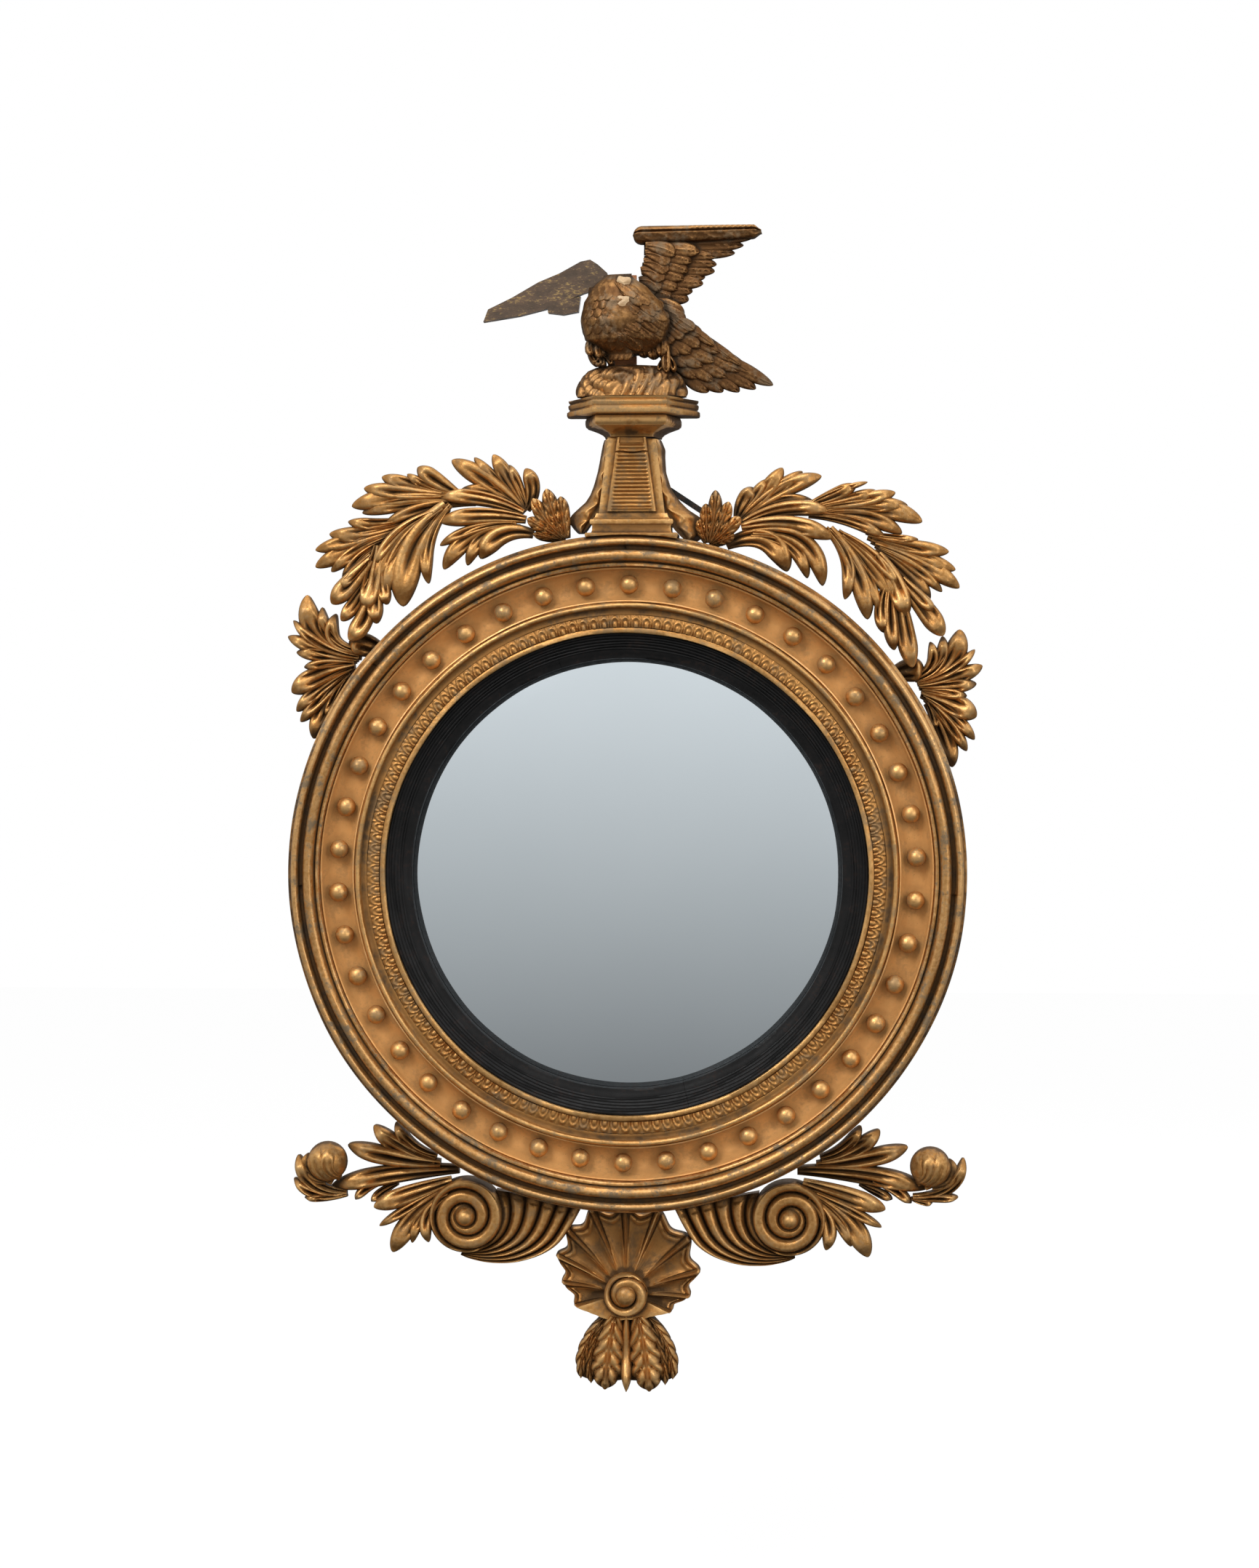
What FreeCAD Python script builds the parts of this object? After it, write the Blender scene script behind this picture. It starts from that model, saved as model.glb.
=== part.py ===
import FreeCAD, Part
import Sketcher
import math
import os

# A round convex girandole mirror: gilt moulded frame with balls, ebonised slip, eagle crest on a
# plinth, acanthus sprays beside it, scrolls, shell and leaf pendant below.
# Millimetres, X to the viewer's right, Z up. The wall plane is y = 0 and the front faces -Y.
# The origin is the centre of the round frame, on the wall plane. A depth is a distance from the wall.

Vector = FreeCAD.Vector
Rotation = FreeCAD.Rotation
Placement = FreeCAD.Placement

TO_FRONT = Vector(0, -1, 0)
FRONTWARD = Rotation(Vector(1, 0, 0), 90)  # turns the Z axis of a primitive to the front

# name of the cell, value, what it measures
SIZES = [
    ("sight_radius", 226, "opening of the slip in front of the plate"),
    ("slip_width", 27, "ebonised slip, inner edge to inner moulding"),
    ("slip_front", 54, "depth of the slip's outer edge"),
    ("slip_slope", 11, "how much lower the slip's inner edge lies"),
    ("slip_rebate", 2.5, "relief behind the slip over the plate's rim"),
    ("slip_joint_upper_deg", 107.6, "upper joint of the slip's halves"),
    ("slip_joint_lower_deg", 285.2, "lower joint of the slip's halves"),
    ("plate_gap", 4, "between the rim of the convex mirror plate and the carcass"),
    ("plate_thickness", 4, "glass"),
    ("plate_bulge", 28, "rise of the plate's face over its rim"),
    ("carcass_depth", 30, "ring that carries all the mouldings"),
    ("bore_setback", 14, "bore of the carcass behind the slip's opening"),
    ("carcass_setback", 16, "outside of the carcass under the outer moulding's edge"),
    ("inner_width", 32, "inner gilt moulding"),
    ("inner_front", 59, "depth of its fillets"),
    ("inner_fillet", 6, "fillet inside the ornament ring"),
    ("band_width", 13, "ornament ring of small leaves"),
    ("band_floor", 54, "floor of the groove that holds the ornament ring"),
    ("band_crown", 9, "radius of the ornament ring's face"),
    ("reed_width", 6.4, "bright reed at the hollow's inner edge"),
    ("hollow_width", 37, "cavetto that holds the balls"),
    ("hollow_edge", 50, "depth of the edges of the cavetto's curve"),
    ("hollow_lip", 3, "flat lip at each side of the curve"),
    ("hollow_curve", 16, "radius of the cavetto's curve"),
    ("outer_width", 34, "outer moulding"),
    ("outer_front", 66, "depth of the outer moulding under its reeds"),
    ("outer_lip", 5.5, "inner lip of the outer moulding"),
    ("large_reed", 11.5, "width of the large outer reed"),
    ("small_reed", 8, "width of the small outer reed"),
    ("quirk", 5, "groove between the two reeds"),
    ("quirk_depth", 5, "how deep the groove is"),
    ("outer_bevel", 8, "fall of the outermost edge"),
    ("ball_radius", 10, "gilt ball"),
    ("ball_count", 42, "balls around the hollow"),
    ("ball_depth", 48.4, "depth of the ball centres"),
    ("peg_radius", 3, "peg of a ball, glued in the hollow"),
    ("peg_length", 16, "peg of a ball, from the ball's centre"),
    ("first_ball_deg", 89.4, "angle of the topmost ball"),
    ("fit_gap", 0.3, "clearance of a piece laid in a seat"),
    ("rebate_width", 10, "rebate for the backboard around the carcass's bore"),
    ("back_thickness", 8, "backboard"),
    ("back_screw_count", 12, "screws around the backboard"),
    ("screw_radius", 1.6, "wood screw shank"),
    ("screw_head", 3.6, "wood screw head radius"),
    ("screw_head_depth", 2.4, "countersunk head"),
    ("screw_length", 16, "wood screw"),
    ("block_count", 10, "glue blocks around the plate"),
    ("block_width", 9, "glue block, along the radius"),
    ("block_length", 46, "glue block, along the rim"),
    ("hanger_deg", 60.2, "angle of the hangers above the horizontal"),
    ("hanger_out", 12, "hangers outside the middle of the carcass's width"),
    ("hanger_recess_width", 34, "recess in the carcass"),
    ("hanger_recess_height", 50, "recess in the carcass"),
    ("hanger_recess_depth", 10, "recess in the carcass"),
    ("hanger_plate_width", 14, "iron plate on the recess floor"),
    ("hanger_plate_height", 20, "iron plate above the pivot"),
    ("hanger_plate_thickness", 1.6, "iron plate"),
    ("hanger_pivot_depth", 5.4, "pivot of the ring below the wall plane"),
    ("knuckle_radius", 3.1, "knuckle around the ring's bar"),
    ("running_gap", 0.08, "clearance of the bar in its knuckle"),
    ("ring_wire", 1.6, "radius of the ring's wire"),
    ("ring_radius", 11, "inner half round of the hanging ring"),
    ("strap_width", 22, "iron back strap"),
    ("strap_thickness", 4, "iron back strap"),
    ("strap_down", 64, "lower end of the strap under the top of the round frame"),
    ("strap_up", 11, "upper end of the strap over the shaft"),
    ("plinth_x", 6, "centre line of the plinth"),
    ("plinth_back", 5.4, "depth of the plinth's back, clear of the strap"),
    ("plinth_front", 62, "depth of the plinth's base front"),
    ("base_half_width", 48.5, "lowest step of the base"),
    ("step_setback", 6.5, "how much narrower the steps above are"),
    ("base_height", 25, "plinth base over the round frame"),
    ("step_height", 9, "plain step of the base"),
    ("step_between", 6, "hollow step of the base"),
    ("foot_height", 20, "lowest step, down into the frame"),
    ("shaft_height", 76, "shaft, from the base to the capital"),
    ("shaft_half_bottom", 34, "half width of the shaft at the base"),
    ("shaft_half_top", 25, "half width of the shaft at the top"),
    ("shaft_front", 50, "depth of the shaft's front"),
    ("panel_half_bottom", 26, "half width of the reeded panel at its foot"),
    ("panel_half_top", 15, "half width of the reeded panel at its head"),
    ("panel_proud", 4, "how much the reeded panel stands proud"),
    ("capital_height", 11, "hollow under the neck"),
    ("neck_height", 11, "neck moulding"),
    ("neck_half_width", 50.5, "neck moulding at the back"),
    ("neck_front", 74, "depth of the neck's front"),
    ("abacus_height", 19, "abacus slab"),
    ("abacus_half_width", 70, "abacus slab at the back"),
    ("abacus_facet_half", 39, "front facet of the abacus"),
    ("abacus_front", 86, "depth of the abacus front"),
    ("cant_depth", 12, "straight part of the sides of the abacus, neck and capital"),
    ("mound_back", 17.4, "depth of the back of the rock mound"),
    ("mound_setback", 10, "front of the mound behind the front of the abacus"),
    ("brace_width", 6, "black iron brace"),
    ("brace_thickness", 5, "black iron brace"),
    ("carving_back", 7, "back of the carved work"),
    ("leaf_layer", 11, "thickness of one layer of leaves"),
    ("volute_radius", 39.5, "outer turn of a volute"),
    ("volute_boss", 10, "radius of the button in a volute"),
    ("bud_radius", 24, "round bud"),
    ("shell_boss", 23, "radius of the boss on the shell"),
    ("shell_button", 11, "radius of the button on the boss"),
    ("eagle_depth", 56, "depth of the middle of the bird"),
    ("wing_thickness", 15, "raised wing"),
    ("slab_thickness", 11, "lowered plain wing"),
    ("support_thickness", 9, "support board behind the bird"),
    ("support_height", 117, "board behind the bird"),
    ("tail_thickness", 26, "tail of the bird"),
]

DRAWN_RADIUS = 356  # radius of the round frame that the outlines below were measured around

# Each tongue of a leaf: root x, z, a point half way x, z, tip x, z, and the width near the tip.
# All are millimetres from the centre of the round frame.
ROSETTE_LEFT = [
    (-62, 352, -66, 374, -69, 396, 15),
    (-64, 352, -77, 380, -84, 404, 17),
    (-66, 352, -86, 374, -98, 394, 16),
    (-67, 351, -87, 363, -104, 373, 15),
    (-64, 350, -82, 353, -98, 357, 10),
]
TOP_LEAF_LEFT = [
    (-107, 383, -101, 405, -109, 427, 17),
    (-107, 383, -115, 407, -126, 431, 11),
    (-107, 383, -124, 411, -143, 442, 17),
    (-108, 382, -136, 410, -163, 439, 13),
    (-109, 381, -147, 412, -187, 436, 21),
    (-110, 381, -142, 402, -177, 405, 12),
]
MAIN_LEAF_LEFT = [
    (-110, 380, -150, 394, -200, 396, 17),
    (-180, 401, -199, 412, -222, 428, 19),
    (-188, 401, -211, 408, -233, 421, 11),
    (-192, 400, -230, 409, -260, 418, 17),
    (-196, 399, -246, 402, -279, 406, 18),
    (-180, 396, -250, 396, -292, 387, 22),
    (-180, 392, -240, 389, -281, 380, 16),
    (-160, 390, -220, 384, -259, 366, 14),
    (-232, 374, -268, 368, -296, 371, 14),
    (-230, 372, -282, 357, -316, 358, 19),
    (-236, 366, -296, 350, -331, 341, 17),
    (-240, 362, -300, 339, -331, 323, 19),
    (-246, 358, -290, 338, -314, 318, 15),
    (-250, 352, -284, 332, -302, 308, 13),
    (-254, 348, -279, 331, -291, 313, 10),
]
UNDER_LEAF_LEFT = [
    (-106, 372, -150, 376, -197, 370, 19),
    (-120, 368, -170, 359, -197, 345, 12),
    (-116, 366, -170, 350, -193, 320, 19),
    (-112, 364, -152, 352, -168, 324, 15),
    (-98, 357, -134, 355, -154, 331, 22),
]
DROP_LEAF_LEFT = [
    (-186, 388, -208, 352, -209, 305, 15),
    (-190, 387, -224, 345, -236, 281, 32),
    (-194, 384, -236, 345, -256, 288, 18),
    (-200, 382, -246, 345, -268, 300, 18),
    (-204, 380, -248, 352, -267, 319, 12),
]
FRONT_LEAF_LEFT = [
    (-262, 345, -268, 310, -276, 275, 22),
    (-270, 330, -292, 306, -312, 284, 22),
    (-270, 335, -290, 314, -304, 299, 12),
    (-272, 310, -287, 285, -302, 266, 16),
    (-270, 300, -279, 265, -294, 246, 21),
    (-262, 315, -266, 288, -264, 263, 18),
    (-258, 325, -257, 302, -253, 283, 15),
]
FAN_LEAF_LEFT = [
    (-258, 232, -277, 240, -297, 243, 26),
    (-279, 234, -314, 250, -310, 274, 16),
    (-282, 232, -320, 256, -325, 281, 14),
    (-283, 230, -332, 255, -341, 294, 25),
    (-285, 228, -334, 246, -356, 267, 12),
    (-286, 226, -333, 238, -362, 250, 16),
    (-288, 224, -326, 230, -353, 233, 15),
    (-290, 221, -320, 221, -345, 217, 12),
    (-290, 219, -330, 207, -358, 190, 24),
    (-293, 215, -330, 192, -353, 170, 16),
    (-295, 211, -327, 182, -349, 159, 15),
    (-298, 207, -323, 174, -335, 141, 20),
    (-300, 204, -312, 183, -320, 162, 12),
]
ROSETTE_RIGHT = [
    (84, 347, 80, 358, 77, 372, 13),
    (85, 347, 84, 366, 83, 388, 14),
    (86, 347, 92, 376, 93, 402, 15),
    (88, 347, 101, 372, 107, 390, 15),
    (89, 346, 106, 361, 119, 374, 15),
    (87, 344, 102, 350, 113, 356, 11),
]
TOP_LEAF_RIGHT = [
    (115, 373, 121, 390, 133, 406, 17),
    (115, 373, 131, 395, 147, 415, 12),
    (116, 372, 142, 398, 163, 427, 18),
    (117, 371, 151, 399, 184, 423, 15),
    (118, 370, 161, 403, 204, 418, 19),
    (119, 369, 158, 392, 197, 390, 13),
]
MAIN_LEAF_RIGHT = [
    (121, 368, 165, 383, 215, 380, 17),
    (192, 389, 222, 402, 252, 411, 7),
    (192, 388, 218, 398, 240, 408, 15),
    (198, 386, 235, 393, 261, 402, 14),
    (202, 385, 248, 392, 281, 400, 16),
    (206, 383, 262, 387, 294, 386, 17),
    (205, 380, 275, 382, 309, 369, 21),
    (205, 377, 262, 371, 288, 357, 17),
    (190, 376, 240, 368, 271, 352, 13),
    (250, 358, 283, 352, 305, 351, 9),
    (252, 354, 303, 342, 337, 338, 17),
    (256, 350, 312, 330, 344, 319, 17),
    (260, 346, 318, 321, 348, 300, 19),
    (264, 342, 306, 318, 330, 296, 13),
    (260, 340, 296, 314, 317, 287, 19),
]
UNDER_LEAF_RIGHT = [
    (120, 363, 170, 366, 216, 352, 20),
    (132, 358, 188, 345, 205, 302, 20),
    (130, 354, 178, 337, 189, 310, 15),
    (104, 345, 148, 349, 168, 317, 25),
]
DROP_LEAF_RIGHT = [
    (208, 362, 231, 326, 228, 288, 15),
    (212, 362, 242, 312, 252, 267, 21),
    (216, 360, 250, 312, 266, 273, 13),
    (220, 358, 258, 322, 284, 284, 20),
    (226, 356, 266, 325, 286, 300, 14),
]
FRONT_LEAF_RIGHT = [
    (262, 335, 280, 305, 292, 270, 22),
    (288, 310, 306, 290, 322, 275, 14),
    (288, 305, 316, 272, 331, 250, 22),
    (284, 300, 291, 255, 299, 217, 21),
    (276, 300, 276, 262, 280, 235, 16),
    (272, 305, 266, 274, 270, 253, 15),
]
FAN_LEAF_RIGHT = [
    (277, 209, 295, 214, 312, 215, 26),
    (301, 206, 320, 222, 318, 244, 12),
    (302, 204, 328, 224, 331, 250, 14),
    (304, 202, 341, 226, 349, 257, 24),
    (305, 200, 345, 217, 365, 236, 11),
    (306, 198, 345, 207, 373, 219, 17),
    (307, 196, 340, 197, 367, 200, 15),
    (309, 193, 334, 190, 357, 187, 13),
    (309, 190, 338, 180, 367, 165, 25),
    (311, 187, 342, 166, 365, 141, 14),
    (313, 184, 338, 158, 357, 129, 14),
    (315, 180, 332, 150, 342, 112, 20),
    (316, 178, 321, 166, 323, 152, 11),
]
SPRAY_LEFT = (ROSETTE_LEFT, TOP_LEAF_LEFT, MAIN_LEAF_LEFT, UNDER_LEAF_LEFT, DROP_LEAF_LEFT,
              FRONT_LEAF_LEFT, FAN_LEAF_LEFT)
SPRAY_RIGHT = (ROSETTE_RIGHT, TOP_LEAF_RIGHT, MAIN_LEAF_RIGHT, UNDER_LEAF_RIGHT, DROP_LEAF_RIGHT,
               FRONT_LEAF_RIGHT, FAN_LEAF_RIGHT)
LOWER_LEAF_LEFT = [
    (-186, -327, -235, -344, -270, -357, 21),
    (-192, -334, -240, -362, -264, -377, 11),
    (-192, -338, -232, -374, -250, -405, 22),
    (-192, -341, -221, -370, -229, -395, 12),
    (-190, -343, -213, -366, -211, -394, 14),
]
UPPER_LEAF_LEFT = [
    (-180, -318, -250, -324, -318, -338, 22),
    (-200, -312, -262, -304, -300, -293, 21),
    (-206, -309, -250, -291, -272, -272, 19),
    (-204, -304, -238, -286, -248, -268, 14),
    (-258, -332, -282, -341, -292, -352, 11),
    (-246, -334, -264, -344, -275, -354, 10),
]
LOWER_LEAF_RIGHT = [
    (186, -326, 238, -342, 273, -354, 21),
    (200, -338, 247, -361, 269, -373, 11),
    (196, -338, 240, -375, 255, -405, 24),
    (196, -342, 228, -374, 237, -394, 13),
    (192, -343, 213, -370, 210, -398, 16),
]
UPPER_LEAF_RIGHT = [
    (180, -316, 250, -320, 318, -334, 22),
    (200, -310, 262, -301, 297, -290, 20),
    (206, -306, 250, -288, 267, -272, 18),
    (204, -302, 236, -285, 247, -268, 14),
    (260, -326, 288, -339, 301, -350, 12),
    (246, -330, 268, -340, 281, -346, 10),
]
BUD_CALYX_LEFT = [
    (-300, -344, -342, -328, -352, -303, 17),
    (-300, -345, -341, -342, -357, -328, 12),
    (-300, -346, -326, -349, -346, -349, 9),
]
BUD_CALYX_RIGHT = [
    (302, -342, 346, -326, 355, -300, 14),
    (302, -343, 333, -343, 350, -342, 10),
    (300, -344, 312, -347, 323, -348, 8),
]

# Places and outlines of the other carved pieces, x and z in millimetres.
VOLUTE_CENTRE = (171.5, -365)
BUD_CENTRE = (320, -309)
CRESCENT_OUTER_LEFT = [
    (-200, -379), (-188, -396), (-168, -410), (-144, -416.5), (-119, -416),
    (-95, -409.5), (-78, -400), (-66, -389),
]
CRESCENT_TOP_LEFT = [
    (-47, -354), (-60, -350.5), (-85, -345), (-104, -342), (-119, -338), (-131, -333),
]
CRESCENT_OUTER_RIGHT = [
    (200, -379), (186, -396), (165, -411), (138, -419), (114, -416.5), (94, -409), (79, -400), (68, -391),
]
CRESCENT_TOP_RIGHT = [
    (47, -355), (60, -351), (84, -347), (104, -343), (119, -339), (131, -334),
]
SHELL_CENTRE = (-1, -447)
# angle in degrees and reach of each scallop of the shell, counter-clockwise from the lower right
SHELL_SCALLOPS = [
    (-24, 52), (-4, 68), (16, 82), (41, 90), (69, 95), (91, 95),
    (113, 98), (134, 93), (153, 85), (172.5, 70), (196, 58),
]
SHELL_VALLEY = 0.9  # reach of a valley against the scallops beside it
NECK_FACET = 0.72  # front facet of the neck against its whole width
PENDANT_SIDE = [
    (23, -474), (38, -488), (49, -506), (54, -526), (54, -538),
]
PENDANT_TIPS = [
    (52, -543, 47, -538), (43, -547, 34, -541), (24, -553, 11, -543), (0, -552, -11, -542),
    (-26, -551, -35, -541), (-42, -545, -46, -538), (-53, -543, -56, -538),
]
PLINTH_LEAF_LEFT = [
    (-18, 456), (-26, 450), (-27, 436), (-31, 418), (-37, 400), (-48, 385), (-61, 375), (-58, 365),
    (-50, 357.5), (-43, 363), (-36, 374), (-31, 382), (-26, 396), (-22, 412), (-19, 430),
]
PLINTH_LEAF_RIGHT = [
    (30, 456), (39, 450), (39, 436), (41, 418), (46, 404), (56, 390), (70, 378), (84, 366),
    (76, 350), (62, 351), (54, 361), (45, 374), (40, 386), (36, 402), (33, 420), (31, 440),
]
BRACE_ENDS = [(44, 404), (88, 375)]
RAISED_WING = [
    (6, 666), (7, 673), (15, 677), (60, 678), (135, 679), (142, 673), (131, 663), (120, 655), (112, 645),
    (93, 645), (94, 636), (91, 627), (81, 624), (81, 615), (70, 610), (63, 597), (52, 590),
    (42, 596), (24, 603), (10, 612), (12, 628), (17, 640), (18, 657), (8, 658),
]
PLAIN_WING = [
    (-150, 578), (-145, 591), (-120, 603), (-92, 619), (-70, 628), (-48, 640), (-38, 642), (-30, 637),
    (-20, 628), (-19, 615), (-45, 607), (-80, 592), (-112, 584),
]
WING_FEATHERS = [(-83, 595), (-82, 587), (-66, 585), (-50, 588), (-48, 604)]
TAIL = [
    (30, 566), (56, 583), (80, 567), (103, 549), (121, 532), (152, 512), (155, 508), (131, 504),
    (113, 502), (97, 504), (86, 501), (73, 508), (62, 518), (40, 528),
]
BODY_SECTIONS = [
    # centre x, z, half length across, half depth, from the belly up to the neck stump
    (4, 541, 22, 14),
    (0, 556, 42, 26),
    (0, 575, 47, 31),
    (-3, 595, 40, 29),
    (-6, 612, 27, 20),
    (-8, 622, 14, 12),
]
MOUND = [
    (-54, 497), (-53, 508), (-45, 520), (-34, 530), (4, 529), (50, 529), (60, 518), (64, 508), (66, 497),
    (36, 494), (-24, 494),
]
DRAWN_ABACUS_TOP = 498  # height of the abacus that the bird and its mound were measured over
LEG_PLACES = [(-30, 4), (43, -6)]  # x of a claw, and how far the thigh leans over it

# Formulas for sizes that follow from the cells of the sheet.
HOLLOW_INNER = "(Sizes.sight_radius + Sizes.slip_width + Sizes.inner_width)"
FRAME_EDGE = "(%s + Sizes.hollow_width + Sizes.outer_width)" % HOLLOW_INNER
BORE = "(Sizes.sight_radius + Sizes.bore_setback)"
REBATE = "(%s + Sizes.rebate_width)" % BORE
CARCASS_EDGE = "(%s - Sizes.carcass_setback)" % FRAME_EDGE
BASE_TOP = "(%s + Sizes.base_height)" % FRAME_EDGE
SHAFT_TOP = "(%s + Sizes.shaft_height)" % BASE_TOP

doc = FreeCAD.newDocument("girandole_mirror")
sheet = doc.addObject("Spreadsheet::Sheet", "Sizes")
for row, (alias, value, meaning) in enumerate(SIZES, start=1):
    sheet.set("A%d" % row, meaning)
    sheet.set("B%d" % row, str(value))
    sheet.setAlias("B%d" % row, alias)
doc.recompute()

written = []  # the objects that are written as files


def size(alias):
    return float(sheet.get(alias))


def worked_out(formula):
    """The number that a formula of sheet cells gives, such as "Sizes.slip_width / 2"."""
    result = sheet.evalExpression(formula)
    return float(getattr(result, "Value", result))


def keep(item, label):
    item.Label = label
    written.append(item)
    return item


def origin_plane(body, role):
    for feature in body.Origin.OriginFeatures:
        if feature.Role == role:
            return feature
    raise ValueError("no plane " + role)


def draw_outline(sketch, points, arcs):
    """Closes lines through points given as pairs of formulas, measured from the origin.

    arcs says which side is an arc instead: {index of the side: (formula of the radius, side of the
    bulge)}, where 1 bulges to the left of the way from its start to its end.
    """
    flat = [(worked_out(across), worked_out(up)) for across, up in points]
    count = len(flat)
    for index in range(count):
        start = Vector(flat[index][0], flat[index][1], 0)
        end = Vector(flat[(index + 1) % count][0], flat[(index + 1) % count][1], 0)
        if index in arcs:
            sketch.addGeometry(shallow_arc(start, end, worked_out(arcs[index][0]), arcs[index][1]), False)
        else:
            sketch.addGeometry(Part.LineSegment(start, end), False)
    # an arc runs counter-clockwise, so one that bulges to the left is stored from its end to its start
    ends = [(2, 1) if index in arcs and arcs[index][1] > 0 else (1, 2) for index in range(count)]
    for index in range(count):
        after = (index + 1) % count
        sketch.addConstraint(Sketcher.Constraint("Coincident", index, ends[index][1], after, ends[after][0]))
    for index, (across, up) in enumerate(points):
        for kind, formula, value, axis in (("DistanceX", across, flat[index][0], -2),
                                           ("DistanceY", up, flat[index][1], -1)):
            if formula == "0":
                on_axis = Sketcher.Constraint("PointOnObject", index, ends[index][0], axis)
                sketch.addConstraint(on_axis)
                continue
            if value < 0:
                measured = Sketcher.Constraint(kind, index, ends[index][0], -1, 1, -value)
                formula = "-(" + formula + ")"
            else:
                measured = Sketcher.Constraint(kind, -1, 1, index, ends[index][0], value)
            number = sketch.addConstraint(measured)
            sketch.setExpression("Constraints[%d]" % number, formula)
    for index in arcs:
        radius = worked_out(arcs[index][0])
        number = sketch.addConstraint(Sketcher.Constraint("Radius", index, radius))
        sketch.setExpression("Constraints[%d]" % number, arcs[index][0])


def shallow_arc(start, end, radius, bulge):
    """The smaller arc between two points of a sketch, counter-clockwise around its centre."""
    half = (end - start) * 0.5
    to_bulge = Vector(-half.y, half.x, 0).normalize() * bulge
    centre = start + half - to_bulge * math.sqrt(max(radius * radius - half.Length ** 2, 0))
    first, last = (end, start) if bulge > 0 else (start, end)
    from_angle = math.atan2(first.y - centre.y, first.x - centre.x)
    to_angle = math.atan2(last.y - centre.y, last.x - centre.x)
    if to_angle < from_angle:
        to_angle += 2 * math.pi
    return Part.ArcOfCircle(Part.Circle(centre, Vector(0, 0, 1), radius), from_angle, to_angle)


def attach(sketch, body, role, offset="0"):
    sketch.AttachmentSupport = [(origin_plane(body, role), "")]
    sketch.MapMode = "FlatFace"
    if offset != "0":
        sketch.setExpression("AttachmentOffset.Base.z", offset)


def ring(label, points, arcs=None, start_deg=0.0, turn="360"):
    """A moulding turned about the Y axis from a section of (radius, depth) formulas."""
    body = doc.addObject("PartDesign::Body", label + "_body")
    sketch = body.newObject("Sketcher::SketchObject", label + "_section")
    attach(sketch, body, "XY_Plane")
    section = [(across, "-(" + depth + ")") for across, depth in points]
    draw_outline(sketch, section, arcs or {})
    turned = body.newObject("PartDesign::Revolution", label + "_turned")
    turned.Profile = sketch
    turned.ReferenceAxis = (sketch, ["V_Axis"])
    turned.Reversed = True
    turned.Angle = worked_out(turn)
    turned.setExpression("Angle", turn)
    body.Placement = Placement(Vector(), Rotation(TO_FRONT, start_deg))
    body.Tip = turned
    return body


def panel(label, points, back, front):
    """A piece with an outline in the XZ plane, between two depths, all given as formulas."""
    body = doc.addObject("PartDesign::Body", label + "_body")
    sketch = body.newObject("Sketcher::SketchObject", label + "_outline")
    attach(sketch, body, "XZ_Plane", back)
    draw_outline(sketch, points, {})
    pad = body.newObject("PartDesign::Pad", label + "_pad")
    pad.Profile = sketch
    pad.setExpression("Length", front + " - (" + back + ")")
    body.Tip = pad
    return body


def slab(label, points, bottom, height):
    """A piece with a plan in the XY plane, from a height upwards, all given as formulas."""
    body = doc.addObject("PartDesign::Body", label + "_body")
    sketch = body.newObject("Sketcher::SketchObject", label + "_plan")
    attach(sketch, body, "XY_Plane", bottom)
    draw_outline(sketch, points, {})
    pad = body.newObject("PartDesign::Pad", label + "_pad")
    pad.Profile = sketch
    pad.setExpression("Length", height)
    body.Tip = pad
    return body


def shaped(label, shape):
    item = doc.addObject("Part::Feature", label + "_shape")
    item.Shape = shape
    return item


def cut(label, base, tool):
    item = doc.addObject("Part::Cut", label + "_cut")
    item.Base = base
    item.Tool = tool
    return item


def disc(radius, back, front):
    return Part.makeCylinder(radius, front - back, Vector(0, -back, 0), TO_FRONT)


def block(left, right, bottom, top, back, front):
    return Part.makeBox(right - left, front - back, top - bottom, Vector(left, -front, bottom))


def on_ring(radius, degrees, depth):
    turn = math.radians(degrees)
    return Vector(radius * math.cos(turn), -depth, radius * math.sin(turn))


# ---- the round frame ----

def make_carcass():
    depth = "Sizes.carcass_depth"
    step = "Sizes.back_thickness"
    points = [
        (REBATE, "0"), (CARCASS_EDGE, "0"), (CARCASS_EDGE, depth), (BORE, depth), (BORE, step),
        (REBATE, step),
    ]
    blank = ring("carcass_blank", points)
    recesses = [screw_tool(), hanger_holes()] + strap_holes()
    half = size("hanger_recess_width") / 2
    rise = size("hanger_recess_height") / 2
    for pivot in hanger_pivots():
        recesses.append(block(pivot.x - half, pivot.x + half, pivot.z - rise, pivot.z + rise, -1,
                              size("hanger_recess_depth")))
    groove = size("strap_width") / 2 + size("fit_gap")
    groove_left = size("plinth_x") - groove
    groove_right = size("plinth_x") + groove
    low, high = strap_ends()
    recesses.append(block(groove_left, groove_right, low - size("fit_gap"), high, -1, strap_front()))
    tool = shaped("carcass_recesses", Part.makeCompound(recesses))
    keep(cut("carcass", blank, tool), "carcass_ring")


def strap_ends():
    return frame_radius() - size("strap_down"), worked_out(SHAFT_TOP) + size("strap_up")


def strap_front():
    return size("strap_thickness") + 2 * size("fit_gap")


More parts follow.
